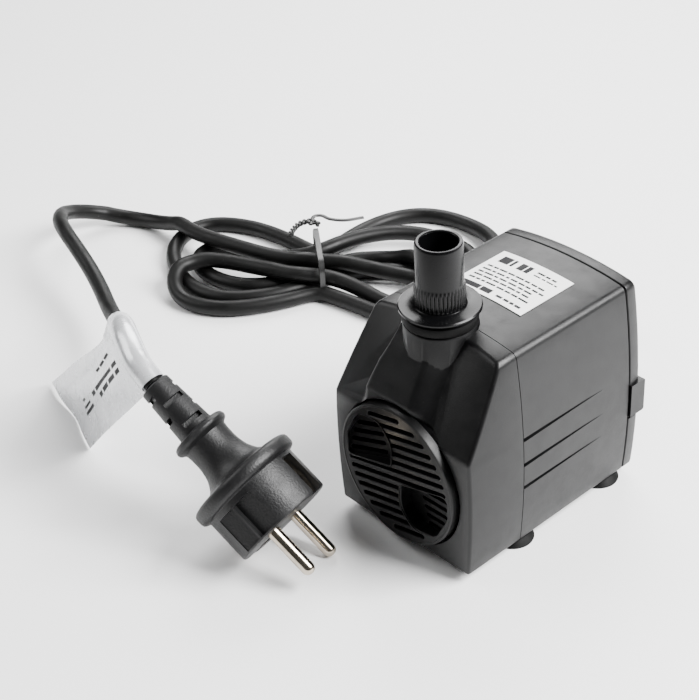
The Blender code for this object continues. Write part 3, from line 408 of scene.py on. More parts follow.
class Nodes:
    """Short way to write a material's node tree."""

    def __init__(self, name):
        self.material = bpy.data.materials.new(name)
        self.material.use_nodes = True
        self.tree = self.material.node_tree
        self.shader = self.tree.nodes["Principled BSDF"]
        self.coordinates = self.add("ShaderNodeTexCoord").outputs["Object"]

    def add(self, kind, **settings):
        node = self.tree.nodes.new(kind)
        for key, value in settings.items():
            setattr(node, key, value)
        return node

    def link(self, source, target):
        self.tree.links.new(source, target)

    def stretched(self, scale):
        """The object's coordinates, scaled by three factors."""
        mapping = self.add("ShaderNodeMapping")
        mapping.inputs["Scale"].default_value = scale
        self.link(self.coordinates, mapping.inputs["Vector"])
        return mapping.outputs["Vector"]

    def noise(self, scale, detail=3.0, roughness=0.55, vector=None):
        node = self.add("ShaderNodeTexNoise")
        node.inputs["Scale"].default_value = scale
        node.inputs["Detail"].default_value = detail
        node.inputs["Roughness"].default_value = roughness
        self.link(vector or self.coordinates, node.inputs["Vector"])
        return node.outputs["Fac"]

    def ramp(self, value, stops):
        """Colour ramp through (position, colour) stops."""
        node = self.add("ShaderNodeValToRGB")
        elements = node.color_ramp.elements
        while len(elements) < len(stops):
            elements.new(0.5)
        for element, (position, colour) in zip(elements, stops):
            element.position = position
            element.color = (*colour, 1.0)
        self.link(value, node.inputs["Fac"])
        return node.outputs["Color"]

    def span(self, value, low, high, source=(0.3, 0.7)):
        """Value remapped to a range."""
        node = self.add("ShaderNodeMapRange")
        node.inputs["From Min"].default_value = source[0]
        node.inputs["From Max"].default_value = source[1]
        node.inputs["To Min"].default_value = low
        node.inputs["To Max"].default_value = high
        self.link(value, node.inputs["Value"])
        return node.outputs["Result"]

    def mixed(self, factor, first, second):
        """Colour mix; first and second are sockets or colours."""
        node = self.add("ShaderNodeMix", data_type="RGBA")
        self.link(factor, node.inputs["Factor"])
        for index, value in ((6, first), (7, second)):
            if isinstance(value, tuple):
                node.inputs[index].default_value = (*value, 1.0)
            else:
                self.link(value, node.inputs[index])
        return node.outputs[2]

    def bump(self, height, strength, distance, after=None):
        node = self.add("ShaderNodeBump")
        node.inputs["Strength"].default_value = strength
        node.inputs["Distance"].default_value = distance
        self.link(height, node.inputs["Height"])
        if after:
            self.link(after, node.inputs["Normal"])
        return node.outputs["Normal"]

    def made(self, tone, roughness, normal):
        """Material with its colour, roughness and normal joined to the shader."""
        for value, socket in ((tone, "Base Color"), (roughness, "Roughness"), (normal, "Normal")):
            self.link(value, self.shader.inputs[socket])
        return self.material


def moulded(name, colour, roughness, grain=2600.0, grain_depth=0.35, specks=0.0, gloss=0.5):
    """Moulded black plastic or rubber: fine spark-eroded grain, faint flow marks, dust."""
    nodes = Nodes(name)
    nodes.shader.inputs["Specular IOR Level"].default_value = gloss
    cloud = nodes.noise(38.0, 4.0)
    tone = nodes.ramp(cloud, [(0.3, scaled(colour, 0.8)), (0.7, scaled(colour, 1.3, 0.0004))])
    if specks:
        dust = nodes.noise(1500.0, 2.0, 0.5)
        patch = nodes.span(dust, 0.0, specks, (0.70, 0.78))
        tone = nodes.mixed(patch, tone, (0.30, 0.29, 0.27))
    wear = nodes.span(nodes.noise(160.0, 5.0, 0.65), roughness - 0.06, roughness + 0.07)
    flow = nodes.bump(nodes.noise(60.0, 2.0), 0.08, 0.0006)
    grains = nodes.noise(grain, 2.0, 0.6)
    return nodes.made(tone, wear, nodes.bump(grains, grain_depth, 0.00012, flow))


def cord_sheath(name, colour, roughness):
    """Rubber sheath: soft extruded sheen, rubbed lighter patches and lint."""
    nodes = Nodes(name)
    nodes.shader.inputs["Specular IOR Level"].default_value = 0.2
    patches = nodes.noise(24.0, 4.0, 0.6)
    tone = nodes.ramp(patches, [(0.32, scaled(colour, 0.75)),
                                (0.68, scaled(colour, 1.35, 0.0005))])
    lint = nodes.noise(1100.0, 2.0, 0.5)
    tone = nodes.mixed(nodes.span(lint, 0.0, 0.12, (0.72, 0.78)), tone, (0.26, 0.25, 0.23))
    rubbed = nodes.span(nodes.noise(120.0, 4.0), roughness - 0.07, roughness + 0.1)
    waves = nodes.bump(nodes.noise(90.0, 1.0), 0.12, 0.0005)
    return nodes.made(tone, rubbed, nodes.bump(nodes.noise(900.0, 3.0, 0.6), 0.25, 0.00015, waves))


def plated(name, colour, roughness, grooves=0.12):
    """Plated or bare metal with fine turning marks and a little tarnish."""
    nodes = Nodes(name)
    nodes.shader.inputs["Metallic"].default_value = 1.0
    stain = nodes.noise(220.0, 4.0, 0.6)
    tone = nodes.ramp(stain, [(0.3, scaled(colour, 0.78)), (0.65, colour)])
    marks = nodes.noise(900.0, 2.0, 0.5, nodes.stretched((1.0, 1.0, 0.08)))
    return nodes.made(tone, nodes.span(marks, 0.7 * roughness, 1.3 * roughness),
                      nodes.bump(marks, grooves, 0.00008))


def film(name, colour, roughness, metallic, creases):
    """Printed film, with soft creases."""
    nodes = Nodes(name)
    nodes.shader.inputs["Metallic"].default_value = metallic
    cloud = nodes.noise(70.0, 3.0)
    tone = nodes.ramp(cloud, [(0.3, scaled(colour, 0.86)), (0.7, colour)])
    soft = nodes.span(nodes.noise(160.0, 3.0), roughness - 0.06, roughness + 0.08)
    folds = nodes.noise(55.0, 3.0, 0.5, nodes.stretched((1.0, 0.5, 1.0)))
    return nodes.made(tone, soft, nodes.bump(folds, creases, 0.0012))


def wound(name, colour):
    """Enamelled copper windings: fine parallel turns."""
    nodes = Nodes(name)
    nodes.shader.inputs["Metallic"].default_value = 1.0
    turns = nodes.add("ShaderNodeTexWave", bands_direction="Z")
    turns.inputs["Scale"].default_value = 520.0
    turns.inputs["Distortion"].default_value = 0.6
    nodes.link(nodes.coordinates, turns.inputs["Vector"])
    tone = nodes.ramp(turns.outputs["Fac"], [(0.1, scaled(colour, 0.25)), (0.7, colour)])
    return nodes.made(tone, nodes.span(nodes.noise(300.0), 0.28, 0.42),
                      nodes.bump(turns.outputs["Fac"], 0.5, 0.0002))


MATERIALS = {
    "case": moulded("case_black", (0.0019, 0.0019, 0.0021), 0.36, specks=0.05, gloss=0.26),
    "dial": moulded("dial_black", (0.0014, 0.0014, 0.0015), 0.34, grain_depth=0.2, gloss=0.2),
    "nozzle": moulded("nozzle_black", (0.0012, 0.0012, 0.0014), 0.22, grain_depth=0.05, gloss=0.18),
    "inner_plastic": moulded("inner_dark", (0.03, 0.03, 0.033), 0.5),
    "seal_rubber": moulded("soft_rubber", (0.0016, 0.0016, 0.0016), 0.6, grain_depth=0.5,
                           gloss=0.12),
    "cord": cord_sheath("cord_rubber", (0.0020, 0.0020, 0.0019), 0.46),
    "plug": moulded("plug_rubber", (0.0042, 0.0042, 0.0045), 0.45, grain=1250.0, grain_depth=0.95,
                    gloss=0.32),
    "shaft": moulded("ceramic_white", (0.80, 0.79, 0.75), 0.22, grain_depth=0.05),
    "magnet": moulded("ferrite", (0.05, 0.05, 0.055), 0.5, grain=1400.0, grain_depth=0.6),
    "laminations": plated("laminations", (0.42, 0.42, 0.43), 0.42),
    "winding": wound("copper_windings", (0.75, 0.30, 0.13)),
    "bobbin": moulded("bobbin_nylon", (0.62, 0.58, 0.48), 0.45),
    "resin": moulded("potting_resin", (0.018, 0.018, 0.02), 0.2, grain_depth=0.05),
    "contact_metal": plated("nickel_plate", (0.50, 0.44, 0.36), 0.16, 0.015),
    "live_insulation": moulded("brown_sleeve", (0.13, 0.05, 0.025), 0.4),
    "neutral_insulation": moulded("blue_sleeve", (0.02, 0.07, 0.28), 0.4),
    "label": film("label_film", (0.84, 0.84, 0.83), 0.38, 0.0, 0.1),
    "tag": film("tag_film", (0.74, 0.75, 0.77), 0.26, 0.5, 0.95),
    "tie": moulded("tie_coat", (0.012, 0.012, 0.012), 0.35, grain_depth=0.1),
    "print": moulded("print_ink", (0.012, 0.012, 0.013), 0.6, grain_depth=0.1, gloss=0.1),
}


def dress_frame():
    """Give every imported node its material, by its material slot."""
    slots = {item["node"]: item["material_slot"] for item in frame["record"]["subparts"]}
    for name, item in frame["nodes"].items():
        item.data.materials.clear()
        item.data.materials.append(MATERIALS[slots[name]])
        item.data.shade_smooth()
        item.data.set_sharp_from_angle(angle=math.radians(SMOOTH_ANGLE))


# ---- shared shape of the case ----
def half_width(share):
    """Half width of the crowned case side, from its underside (0) to its top corner (1)."""
    return (FOOT_HALF * (1 - share) * (1 - 2 * share) + 4 * WAIST_HALF * share * (1 - share)
            + SHOULDER_HALF * share * (2 * share - 1))


def top_height(x, inset=0.0):
    reach = SHOULDER_HALF - inset
    return FLOOR_GAP + CASE_HEIGHT - inset + TOP_CROWN * (1 - (x / reach) ** 2)


def case_outline(inset=0.0):
    """Cross-section of the case as (x, z) points, made smaller by the inset."""
    side_steps, top_steps = 14, 10
    low = FLOOR_GAP + inset
    high = FLOOR_GAP + CASE_HEIGHT - inset
    right = [(half_width(0) - inset, low, max(FOOT_EDGE_RADIUS - inset, 0.3))]
    for i in range(1, side_steps):
        share = i / side_steps
        right.append((half_width(share) - inset, low + (high - low) * share, 0.0))
    right.append((SHOULDER_HALF - inset, high, max(TOP_EDGE_RADIUS - inset, 0.4)))
    for i in range(1, top_steps):
        x = (SHOULDER_HALF - inset) * (0.84 * (1 - i / top_steps))
        right.append((x, top_height(x, inset), 0.0))
    left = [(-x, z, radius) for x, z, radius in reversed(right)]
    return rounded(right + [(0.0, top_height(0.0, inset), 0.0)] + left, 5)


def lean_back(shape, offset):
    """Cut the upper front of a case prism along the leaning face, moved inwards by the offset."""
    outward = Vector((0.0, -1.0, SLOPE_RATE)).normalized()
    point = Vector((0.0, FRONT_Y, CREASE_Z)) - outward * offset
    everything = shape.verts[:] + shape.edges[:] + shape.faces[:]
    found = bmesh.ops.bisect_plane(shape, geom=everything, plane_co=point, plane_no=outward,
                                   clear_outer=True)
    edges = [item for item in found["geom_cut"] if isinstance(item, bmesh.types.BMEdge)]
    bmesh.ops.contextual_create(shape, geom=edges)
    return shape


def soften(shape, width, angle, chosen, segments=3):
    """Round the chosen edges that are sharper than the angle."""
    edges = [edge for edge in shape.edges
             if len(edge.link_faces) == 2 and edge.calc_face_angle(0.0) > math.radians(angle)
             and chosen((edge.verts[0].co + edge.verts[1].co) / 2)]
    bmesh.ops.bevel(shape, geom=edges, offset=width, offset_type="OFFSET", segments=segments,
                    profile=0.5, affect="EDGES", clamp_overlap=True)
    return shape


def between(knots, value):
    """Straight-line reading of a short list of (position, amount) knots."""
    for (low, first), (high, second) in zip(knots, knots[1:]):
        if value <= high:
            share = max(0.0, (value - low) / (high - low))
            return first + (second - first) * share
    return knots[-1][1]


def stand_in(piece, node, body):
    """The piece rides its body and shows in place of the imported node."""
    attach(piece, body)
    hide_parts(node)
    return piece


def at_outlet(shape):
    """Move a shape made about Z to the outlet's axis."""
    return shifted(shape, 0.0, OUTLET_Y)


# ---- pump shells ----
def nose_form():
    """Raised middle of the leaning face: broad and square on the left, hollowed on the right."""
    left = [(50.0, 20.2), (60.0, 18.6), (68.0, 17.0), (74.0, 14.4), (79.0, 12.9), (81.0, 12.6)]
    right = [(50.0, 16.8), (56.0, 15.0), (60.0, 13.2), (64.0, 12.3), (70.0, 12.2), (81.0, 12.8)]
    front = [(50.0, FRONT_Y + 0.02), (59.0, FRONT_Y + 0.02), (63.0, -41.0), (67.0, -38.6),
             (71.0, -36.4), (74.0, -34.9), (78.0, -32.5), (81.0, -31.0)]
    steps = 24
    rings = []
    for z in range(NOSE_START_Z, NOSE_END_Z + 1):
        nearest = between(front, z)
        face = FRONT_Y + SLOPE_RATE * (z - CREASE_Z)
        foot = max(face, nearest) + 0.3
        ring = []
        for i in range(-steps, steps + 1):
            reach, level = (between(left, z), 0.80) if i < 0 else (between(right, z), 0.28)
            share = abs(i) / steps
            fall = max(0.0, (share - level) / (1 - level))
            x = math.copysign(reach * share, i)
            ring.append((x, nearest + (foot - nearest) * fall * fall * (3 - 2 * fall), z))
        rings.append(ring + [(ring[-1][0], foot + 1.5, z), (ring[0][0], foot + 1.5, z)])
    return loft(rings)


def make_front_shell():
    body = lean_back(prism(case_outline(), FRONT_Y, SEAM_Y - 0.15), 0.0)
    soften(body, 1.25, 18, lambda middle: middle.y < SEAM_Y - 2.0)
    shell = add_mesh("front_shell", body, MATERIALS["case"])
    add(shell, nose_form())
    boss = turned([(0, BOSS_START_Z), (BOSS_RADIUS, BOSS_START_Z), (BOSS_RADIUS, BOSS_TOP_Z - 0.6),
                   (BOSS_RADIUS - 0.2, BOSS_TOP_Z - 0.2), (BOSS_RADIUS - 0.6, BOSS_TOP_Z),
                   (0, BOSS_TOP_Z)], 96)
    add(shell, at_outlet(boss))
    hollow = lean_back(prism(case_outline(WALL), FRONT_Y + WALL, SEAM_Y + 1.0), WALL)
    cut(shell, hollow)
    add(shell, rod_z(8.2, 58.1, 80.5, (0.0, OUTLET_Y)))
    low, high = 50.0, 90.0
    bore = turned([(0, low), (THROAT_RADIUS, low), (THROAT_RADIUS, SOCKET_FLOOR_Z),
                   (SOCKET_RADIUS, SOCKET_FLOOR_Z), (SOCKET_RADIUS, high), (0, high)])
    cut(shell, at_outlet(bore))
    lip = 0.5
    hole = along_y(turned([(0, FRONT_Y - 3.0), (DIAL_HOLE_RADIUS + lip, FRONT_Y - 3.0),
                           (DIAL_HOLE_RADIUS + lip, FRONT_Y), (DIAL_HOLE_RADIUS, FRONT_Y + lip),
                           (DIAL_HOLE_RADIUS, DIAL_HOLE_END_Y),
                           (CUP_RECESS_RADIUS, DIAL_HOLE_END_Y),
                           (CUP_RECESS_RADIUS, CUP_RECESS_END_Y), (0, CUP_RECESS_END_Y)], 128),
                   (0.0, DIAL_Z))
    cut(shell, hole)
    return stand_in(shell, "front_cover", "front")


def groove(side, height):
    """Tapered groove in the case side, deepest at the front seam."""
    surface = half_width((height - FLOOR_GAP) / CASE_HEIGHT)
    rings = []
    for y, depth, width in ((SEAM_Y - 1.0, 1.4, 1.5), (26.0, -0.1, 0.7)):
        inner, outer = side * (surface - depth), side * (surface + 1.2)
        rings.append([(inner, y, height - 0.38 * width), (inner, y, height + 0.38 * width),
                      (outer, y, height + 0.6 * width), (outer, y, height - 0.6 * width)])
    return loft(rings)


def make_housing_shell():
    body = prism(case_outline(), SEAM_Y + 0.15, REAR_SEAM_Y - REAR_SEAM_GAP / 2)
    soften(body, 0.3, 40, lambda middle: True, 2)
    shell = add_mesh("housing_shell", body, MATERIALS["case"])
    front_recess = prism(case_outline(WALL), SEAM_Y - 1.0, BULKHEAD_Y)
    rear_cavity = prism(case_outline(WALL), BULKHEAD_Y + BULKHEAD_THICKNESS, REAR_SEAM_Y + 1.0)
    cut(shell, front_recess, rear_cavity)
    centre = (0.0, DIAL_Z)
    add(shell, rod_y(WELL_RADIUS + WELL_WALL, BULKHEAD_Y + 1.0, WELL_END_Y + 2.0, centre))
    cut(shell, rod_y(WELL_RADIUS, BULKHEAD_Y - 1.0, WELL_END_Y, centre))
    cut(shell, rod_z(BOSS_RADIUS + 0.3, 67.0, 92.0, (0.0, OUTLET_Y), 96))
    cutters = [groove(side, height) for side in (-1, 1) for height in GROOVE_HEIGHTS]
    cut(shell, *cutters)
    holes = [rod_z(CUP_HOLE_RADIUS, 0.0, 7.0, (side * CUP_X, y), 32)
             for side in (-1, 1) for y in CUP_Y]
    cut(shell, *holes)
    return stand_in(shell, "motor_housing", "pump")


def clip_pad(side):
    inner, outer = sorted((side * (WAIST_HALF - 2.0), side * (WAIST_HALF + 0.9)))
    start = REAR_SEAM_Y + REAR_SEAM_GAP / 2
    outline = rounded([(start, 27.4, 0.0), (44.4, 27.4, 0.8), (44.4, 40.6, 0.8),
                       (start, 40.6, 0.0)], 4)
    pad = prism(outline, inner, outer, "X")
    return soften(pad, 0.4, 50, lambda middle: abs(middle.x) > WAIST_HALF, 2)


def make_rear_shell():
    start = REAR_SEAM_Y + REAR_SEAM_GAP / 2
    rings = []
    for y, inset in ((start, 0.25), (start + 0.25, 0.0), (REAR_Y - 2.2, 0.0), (REAR_Y - 1.2, 0.35),
                     (REAR_Y - 0.4, 1.0), (REAR_Y, 1.9)):
        rings.append([(x * (1 - inset / 32.0), y, 41.0 + (z - 41.0) * (1 - inset / 38.0))
                      for x, z in case_outline()])
    shell = add_mesh("rear_shell", loft(rings), MATERIALS["case"])
    add(shell, clip_pad(-1), clip_pad(1))
    collar = along_y(turned([(0, REAR_Y - 2.0), (COLLAR_RADIUS, REAR_Y - 2.0),
                             (COLLAR_RADIUS, COLLAR_END_Y - 1.0),
                             (COLLAR_RADIUS - 0.3, COLLAR_END_Y - 0.3),
                             (COLLAR_RADIUS - 1.0, COLLAR_END_Y), (0, COLLAR_END_Y)]),
                     (CABLE_X, CABLE_Z))
    add(shell, collar)
    cut(shell, prism(case_outline(WALL), start - 1.0, REAR_Y - 2.4))
    slits = [block((side * 31.4 - 3.0, start - 1.0, 26.2), (side * 31.4 + 3.0, 46.0, 27.0))
             for side in (-1, 1)]
    cut(shell, *slits)
    cut(shell, rod_y(CABLE_HOLE_RADIUS, 30.0, 50.0, (CABLE_X, CABLE_Z)))
    return stand_in(shell, "rear_cover", "pump")


# ---- flow dial ----
def scoop_outline(growth=0.0):
    corners = [(1.5, -3.2, 2.0), (-1.2, -12.0, 8.0), (3.0, -20.0, 6.0), (13.6, -20.4, 5.0),
               (21.8, -11.2, 6.0), (23.8, -2.4, 2.0)]
    middle = Vector((11.0, -11.5))
    grown = []
    for x, z, radius in corners:
        away = (Vector((x, z)) - middle).normalized() * growth
        grown.append((x + away.x, z + away.y, radius + growth / 2))
    return rounded(grown, 8)


def slot_outline(height, growth=0.0, start=None):
    """Round-ended slot across the dial, or from the start to the rim."""
    reach = math.sqrt((DIAL_RADIUS - SLOT_MARGIN) ** 2 - height ** 2) - SLOT_WIDTH / 2
    radius = SLOT_WIDTH / 2 + growth
    near = -reach if start is None else start
    return arc((reach, height), radius, -90, 90, 8) + arc((near, height), radius, 90, 270, 8)


def flared(outline, face, depth, flare, rise=0.0):
    """Cutter with a small chamfer at the face it enters; outline is a function of growth.

    The floor can rise towards +X, by the given share of its depth for each millimetre.
    """
    stops = ((face - 1.0, flare), (face, flare), (face + flare, 0.0))
    rings = [[(x, y, z) for x, z in outline(growth)] for y, growth in stops]
    floor = [(x, face + max(depth * (1 - rise * max(0.0, x - SCOOP_FLAT_X)), 2 * flare), z)
             for x, z in outline(0.0)]
    return loft(rings + [floor])


def make_dial():
    """Slotted dial with two finger scoops, on its hub."""
    turn = Matrix.Rotation(math.radians(-DIAL_TURN), 4, "Y")
    place = Matrix.Translation((0.0, 0.0, DIAL_Z)) @ turn
    half_turn = Matrix.Rotation(math.pi, 4, "Y")
    face, back = DIAL_FACE_Y, DIAL_FACE_Y + DIAL_THICKNESS
    skin = face + FACE_STEP
    rim = [(0, skin), (DIAL_RADIUS - 1.1, skin), (DIAL_RADIUS - 0.9, face),
           (DIAL_RADIUS - 0.4, face), (DIAL_RADIUS - 0.1, skin), (DIAL_RADIUS, face + 0.5),
           (DIAL_RADIUS, back), (0, back)]
    disc = moved(along_y(turned(rim, 160), (0.0, 0.0)), place)
    dial = add_mesh("dial_disc", disc, MATERIALS["dial"], DIAL_SMOOTH)
    middle = (SLOT_COUNT - 1) / 2
    heights = [(i - middle) * SLOT_PITCH for i in range(SLOT_COUNT)]

    def work(operation, shape):
        combine(dial, operation, moved(shape, place), DIAL_SMOOTH)

    def both(make):
        """The same shape for both scoops, half a turn apart."""
        return joined(make(), moved(make(), half_turn))

    def cup():
        """Solid that the scoop is cut from, its lip proud towards the middle of the dial."""
        outline = scoop_outline(SCOOP_WALL * 0.55)
        lip = [(x, skin - max(0.0, SCOOP_LIP - SCOOP_LIP_FALL * max(0.0, x)), z)
               for x, z in outline]
        floor = [(x, face + SCOOP_DEPTH + SCOOP_WALL, z) for x, z in outline]
        return loft([lip, floor])

    def pocket():
        return flared(scoop_outline, skin, SCOOP_DEPTH - FACE_STEP, 0.22, SCOOP_RISE)

    def ramp_slots():
        return joined(*[prism(slot_outline(height, 0.0, RAMP_SLOT_START), face + 0.8, face + 8.0)
                        for height in heights if -19.0 < height < -3.5])

    slots = [flared(lambda growth, h=height: slot_outline(h, growth), skin,
                    DIAL_THICKNESS + 1.0, 0.18) for height in heights]
    work("DIFFERENCE", joined(*slots))
    work("UNION", both(cup))
    work("DIFFERENCE", both(pocket))
    work("DIFFERENCE", both(ramp_slots))
    hub = along_y(turned([(0, back - 1.0), (HUB_RADIUS, back - 1.0), (HUB_RADIUS, HUB_END_Y),
                          (HUB_PIN_RADIUS, HUB_END_Y), (HUB_PIN_RADIUS, HUB_PIN_END_Y),
                          (0, HUB_PIN_END_Y)], 48), (0.0, 0.0))
    work("UNION", hub)
    return stand_in(dial, "flow_dial", "dial")


# ---- outlet ----
def make_nozzle():
    """Push-in nozzle: flange, knurled collar fading upwards, plain tube with a soft rim."""
    steps = KNURL_COUNT * 8
    knurl = [(KNURL_BOTTOM_Z, 0.0), (KNURL_BOTTOM_Z + 0.3, 0.45), (KNURL_TOP_Z - 1.6, 0.42),
             (KNURL_TOP_Z - 0.8, 0.3), (KNURL_TOP_Z, 0.0)]
    bore, tube, spigot, collar = TUBE_BORE, TUBE_RADIUS, SPIGOT_RADIUS, KNURL_RADIUS
    step, flange, ledge, top = FLANGE_STEP_RADIUS, FLANGE_RADIUS, FLANGE_TOP_Z, NOZZLE_TOP_Z
    profile = [(bore, SPIGOT_END_Z), (spigot - 0.6, SPIGOT_END_Z), (spigot, SPIGOT_END_Z + 1.0),
               (spigot, SEAL_TOP_Z + 0.3), (step - 0.2, SEAL_TOP_Z + 0.3), (step, SEAL_TOP_Z + 0.6),
               (step, FLANGE_LOW_Z), (flange - 0.25, FLANGE_LOW_Z), (flange, FLANGE_LOW_Z + 0.25),
               (flange, ledge - 0.4), (flange - 0.4, ledge), (collar + 0.5, ledge),
               (collar + 0.1, ledge + 0.3), (collar, KNURL_BOTTOM_Z),
               (collar, KNURL_BOTTOM_Z + 0.3), (collar, KNURL_TOP_Z - 1.6),
               (collar - 0.1, KNURL_TOP_Z - 0.8), (tube + 0.12, KNURL_TOP_Z),
               (tube, KNURL_TOP_Z + 0.8), (tube, top - 0.8), (tube - 0.2, top - 0.25),
               (tube - 0.65, top), (bore + 0.5, top), (bore + 0.1, top - 0.3), (bore, top - 0.9)]
    rings = []
    for radius, height in profile:
        depth = between(knurl, height)
        ring = []
        for i in range(steps):
            rib = abs(math.sin(math.pi * KNURL_COUNT * i / steps))
            here = radius - depth * (1 - rib) ** 1.5
            turn = 2 * math.pi * i / steps
            ring.append((here * math.cos(turn), here * math.sin(turn) + OUTLET_Y, height))
        rings.append(ring)
    nozzle = add_mesh("nozzle_tube", loft(rings, closed=True), MATERIALS["nozzle"], 40)
    return stand_in(nozzle, "outlet_nozzle", "nozzle")


def make_seal():
    inner, outer, low, high = SPIGOT_RADIUS + 0.3, BOSS_RADIUS + 0.1, BOSS_TOP_Z + 0.3, SEAL_TOP_Z
    profile = [(inner, low), (outer - 0.6, low), (outer - 0.15, low + 0.2), (outer, low + 0.7),
               (outer, high - 0.9), (outer - 0.25, high - 0.3), (outer - 0.9, high), (inner, high)]
    seal = add_mesh("seal_ring", at_outlet(turned(profile, 96)), MATERIALS["seal_rubber"])
    return stand_in(seal, "outlet_seal", "seal")


# ---- feet and label ----
def make_feet():
    profile = [(0, 1.8), (3.6, 1.8), (5.2, 1.1), (6.4, 0.3), (6.8, 0.0), (CUP_RADIUS - 0.2, 0.0),
               (CUP_RADIUS, 0.5), (6.8, 1.3), (5.6, 2.3), (4.4, 2.9), (3.4, 3.2), (2.05, 3.2),
               (2.05, 5.6), (0, 5.6)]
    for side, wing in ((-1, "left"), (1, "right")):
        for y, end in zip(CUP_Y, ("front", "rear")):
            cup = shifted(turned(profile, 64), side * CUP_X, y)
            foot = add_mesh(f"foot_{end}_{wing}", cup, MATERIALS["seal_rubber"])
            stand_in(foot, f"suction_cup_{end}_{wing}", "pump")


def bar_pattern(rows, seed):
    """Generic print as (u low, u high, v low, v high) bars in rows of even height."""
    chance = np.random.default_rng(seed)
    bars = []
    for low, high, start, stop, longest in rows:
        u = start
        while u < stop - 0.03:
            end = min(stop, u + chance.uniform(0.4, 1.0) * longest)
            bars.append((u, end, low, high))
            u = end + 0.018
    return bars


def printed(piece, bars, place, ink):
    """Give the faces under the bars the ink material; place turns a face centre into (u, v)."""
    piece.data.materials.append(ink)
    for face in piece.data.polygons:
        u, v = place(face)
        if any(a < u < b and c < v < d for a, b, c, d in bars):
            face.material_index = 1


def make_label():
    columns, lines = 130, 110
    low_y, high_y = LABEL_SPAN
    shape = bmesh.new()
    grid = []
    for j in range(lines + 1):
        y = low_y + (high_y - low_y) * j / lines
        row = []
        for i in range(columns + 1):
            x = LABEL_HALF * (2 * i / columns - 1)
            row.append(shape.verts.new((x, y, top_height(x) + 0.3)))
        grid.append(row)
    for below, above in zip(grid, grid[1:]):
        for i in range(columns):
            shape.faces.new((below[i], below[i + 1], above[i + 1], above[i]))
    edges = [edge for edge in shape.edges if len(edge.link_faces) == 1]
    skirt = bmesh.ops.extrude_edge_only(shape, edges=edges)["geom"]
    for item in skirt:
        if isinstance(item, bmesh.types.BMVert):
            item.co.z -= 0.2
    rim = [edge for edge in shape.edges if len(edge.link_faces) == 1]
    bmesh.ops.contextual_create(shape, geom=rim)
    label = add_mesh("label_film", shape, MATERIALS["label"])
    rows = [(0.06, 0.16, 0.07, 0.50, 0.30), (0.08, 0.13, 0.58, 0.92, 0.12)]
    rows += [(0.24 + 0.085 * k, 0.275 + 0.085 * k, 0.07, 0.93 - 0.05 * (k % 3), 0.13)
             for k in range(5)]
    rows += [(0.74, 0.90, 0.10, 0.30, 0.2), (0.74, 0.90, 0.36, 0.52, 0.16),
             (0.76, 0.79, 0.60, 0.92, 0.1), (0.84, 0.87, 0.60, 0.86, 0.1)]
    bars = bar_pattern(rows, 5)

    def place(face):
        x, y = face.center.x / MM, face.center.y / MM
        return (x + LABEL_HALF) / (2 * LABEL_HALF), (y - low_y) / (high_y - low_y)

    printed(label, bars, place, MATERIALS["print"])
    return stand_in(label, "rating_label", "pump")


# ---- mains plug ----
PLUG_PLACE = (Matrix.Translation(PLUG_FACE) @ Matrix.Rotation(math.radians(PLUG_YAW), 4, "Z")
              @ Matrix.Rotation(math.radians(90 + PLUG_DIP), 4, "Y")
              @ Matrix.Rotation(math.radians(PLUG_ROLL), 4, "Z"))


def staggered_slots(starts, thickness, near, far, half):
    """Pairs of slots in a sleeve about Z, each pair a quarter turn from the last."""
    cuts = []
    for i, z in enumerate(starts):
        for side in (-1, 1):
            low, high = sorted((side * near, side * far))
            if i % 2:
                cuts.append(block((low, -half, z), (high, half, z + thickness)))
            else:
                cuts.append(block((-half, low, z), (half, high, z + thickness)))
    return joined(*cuts)


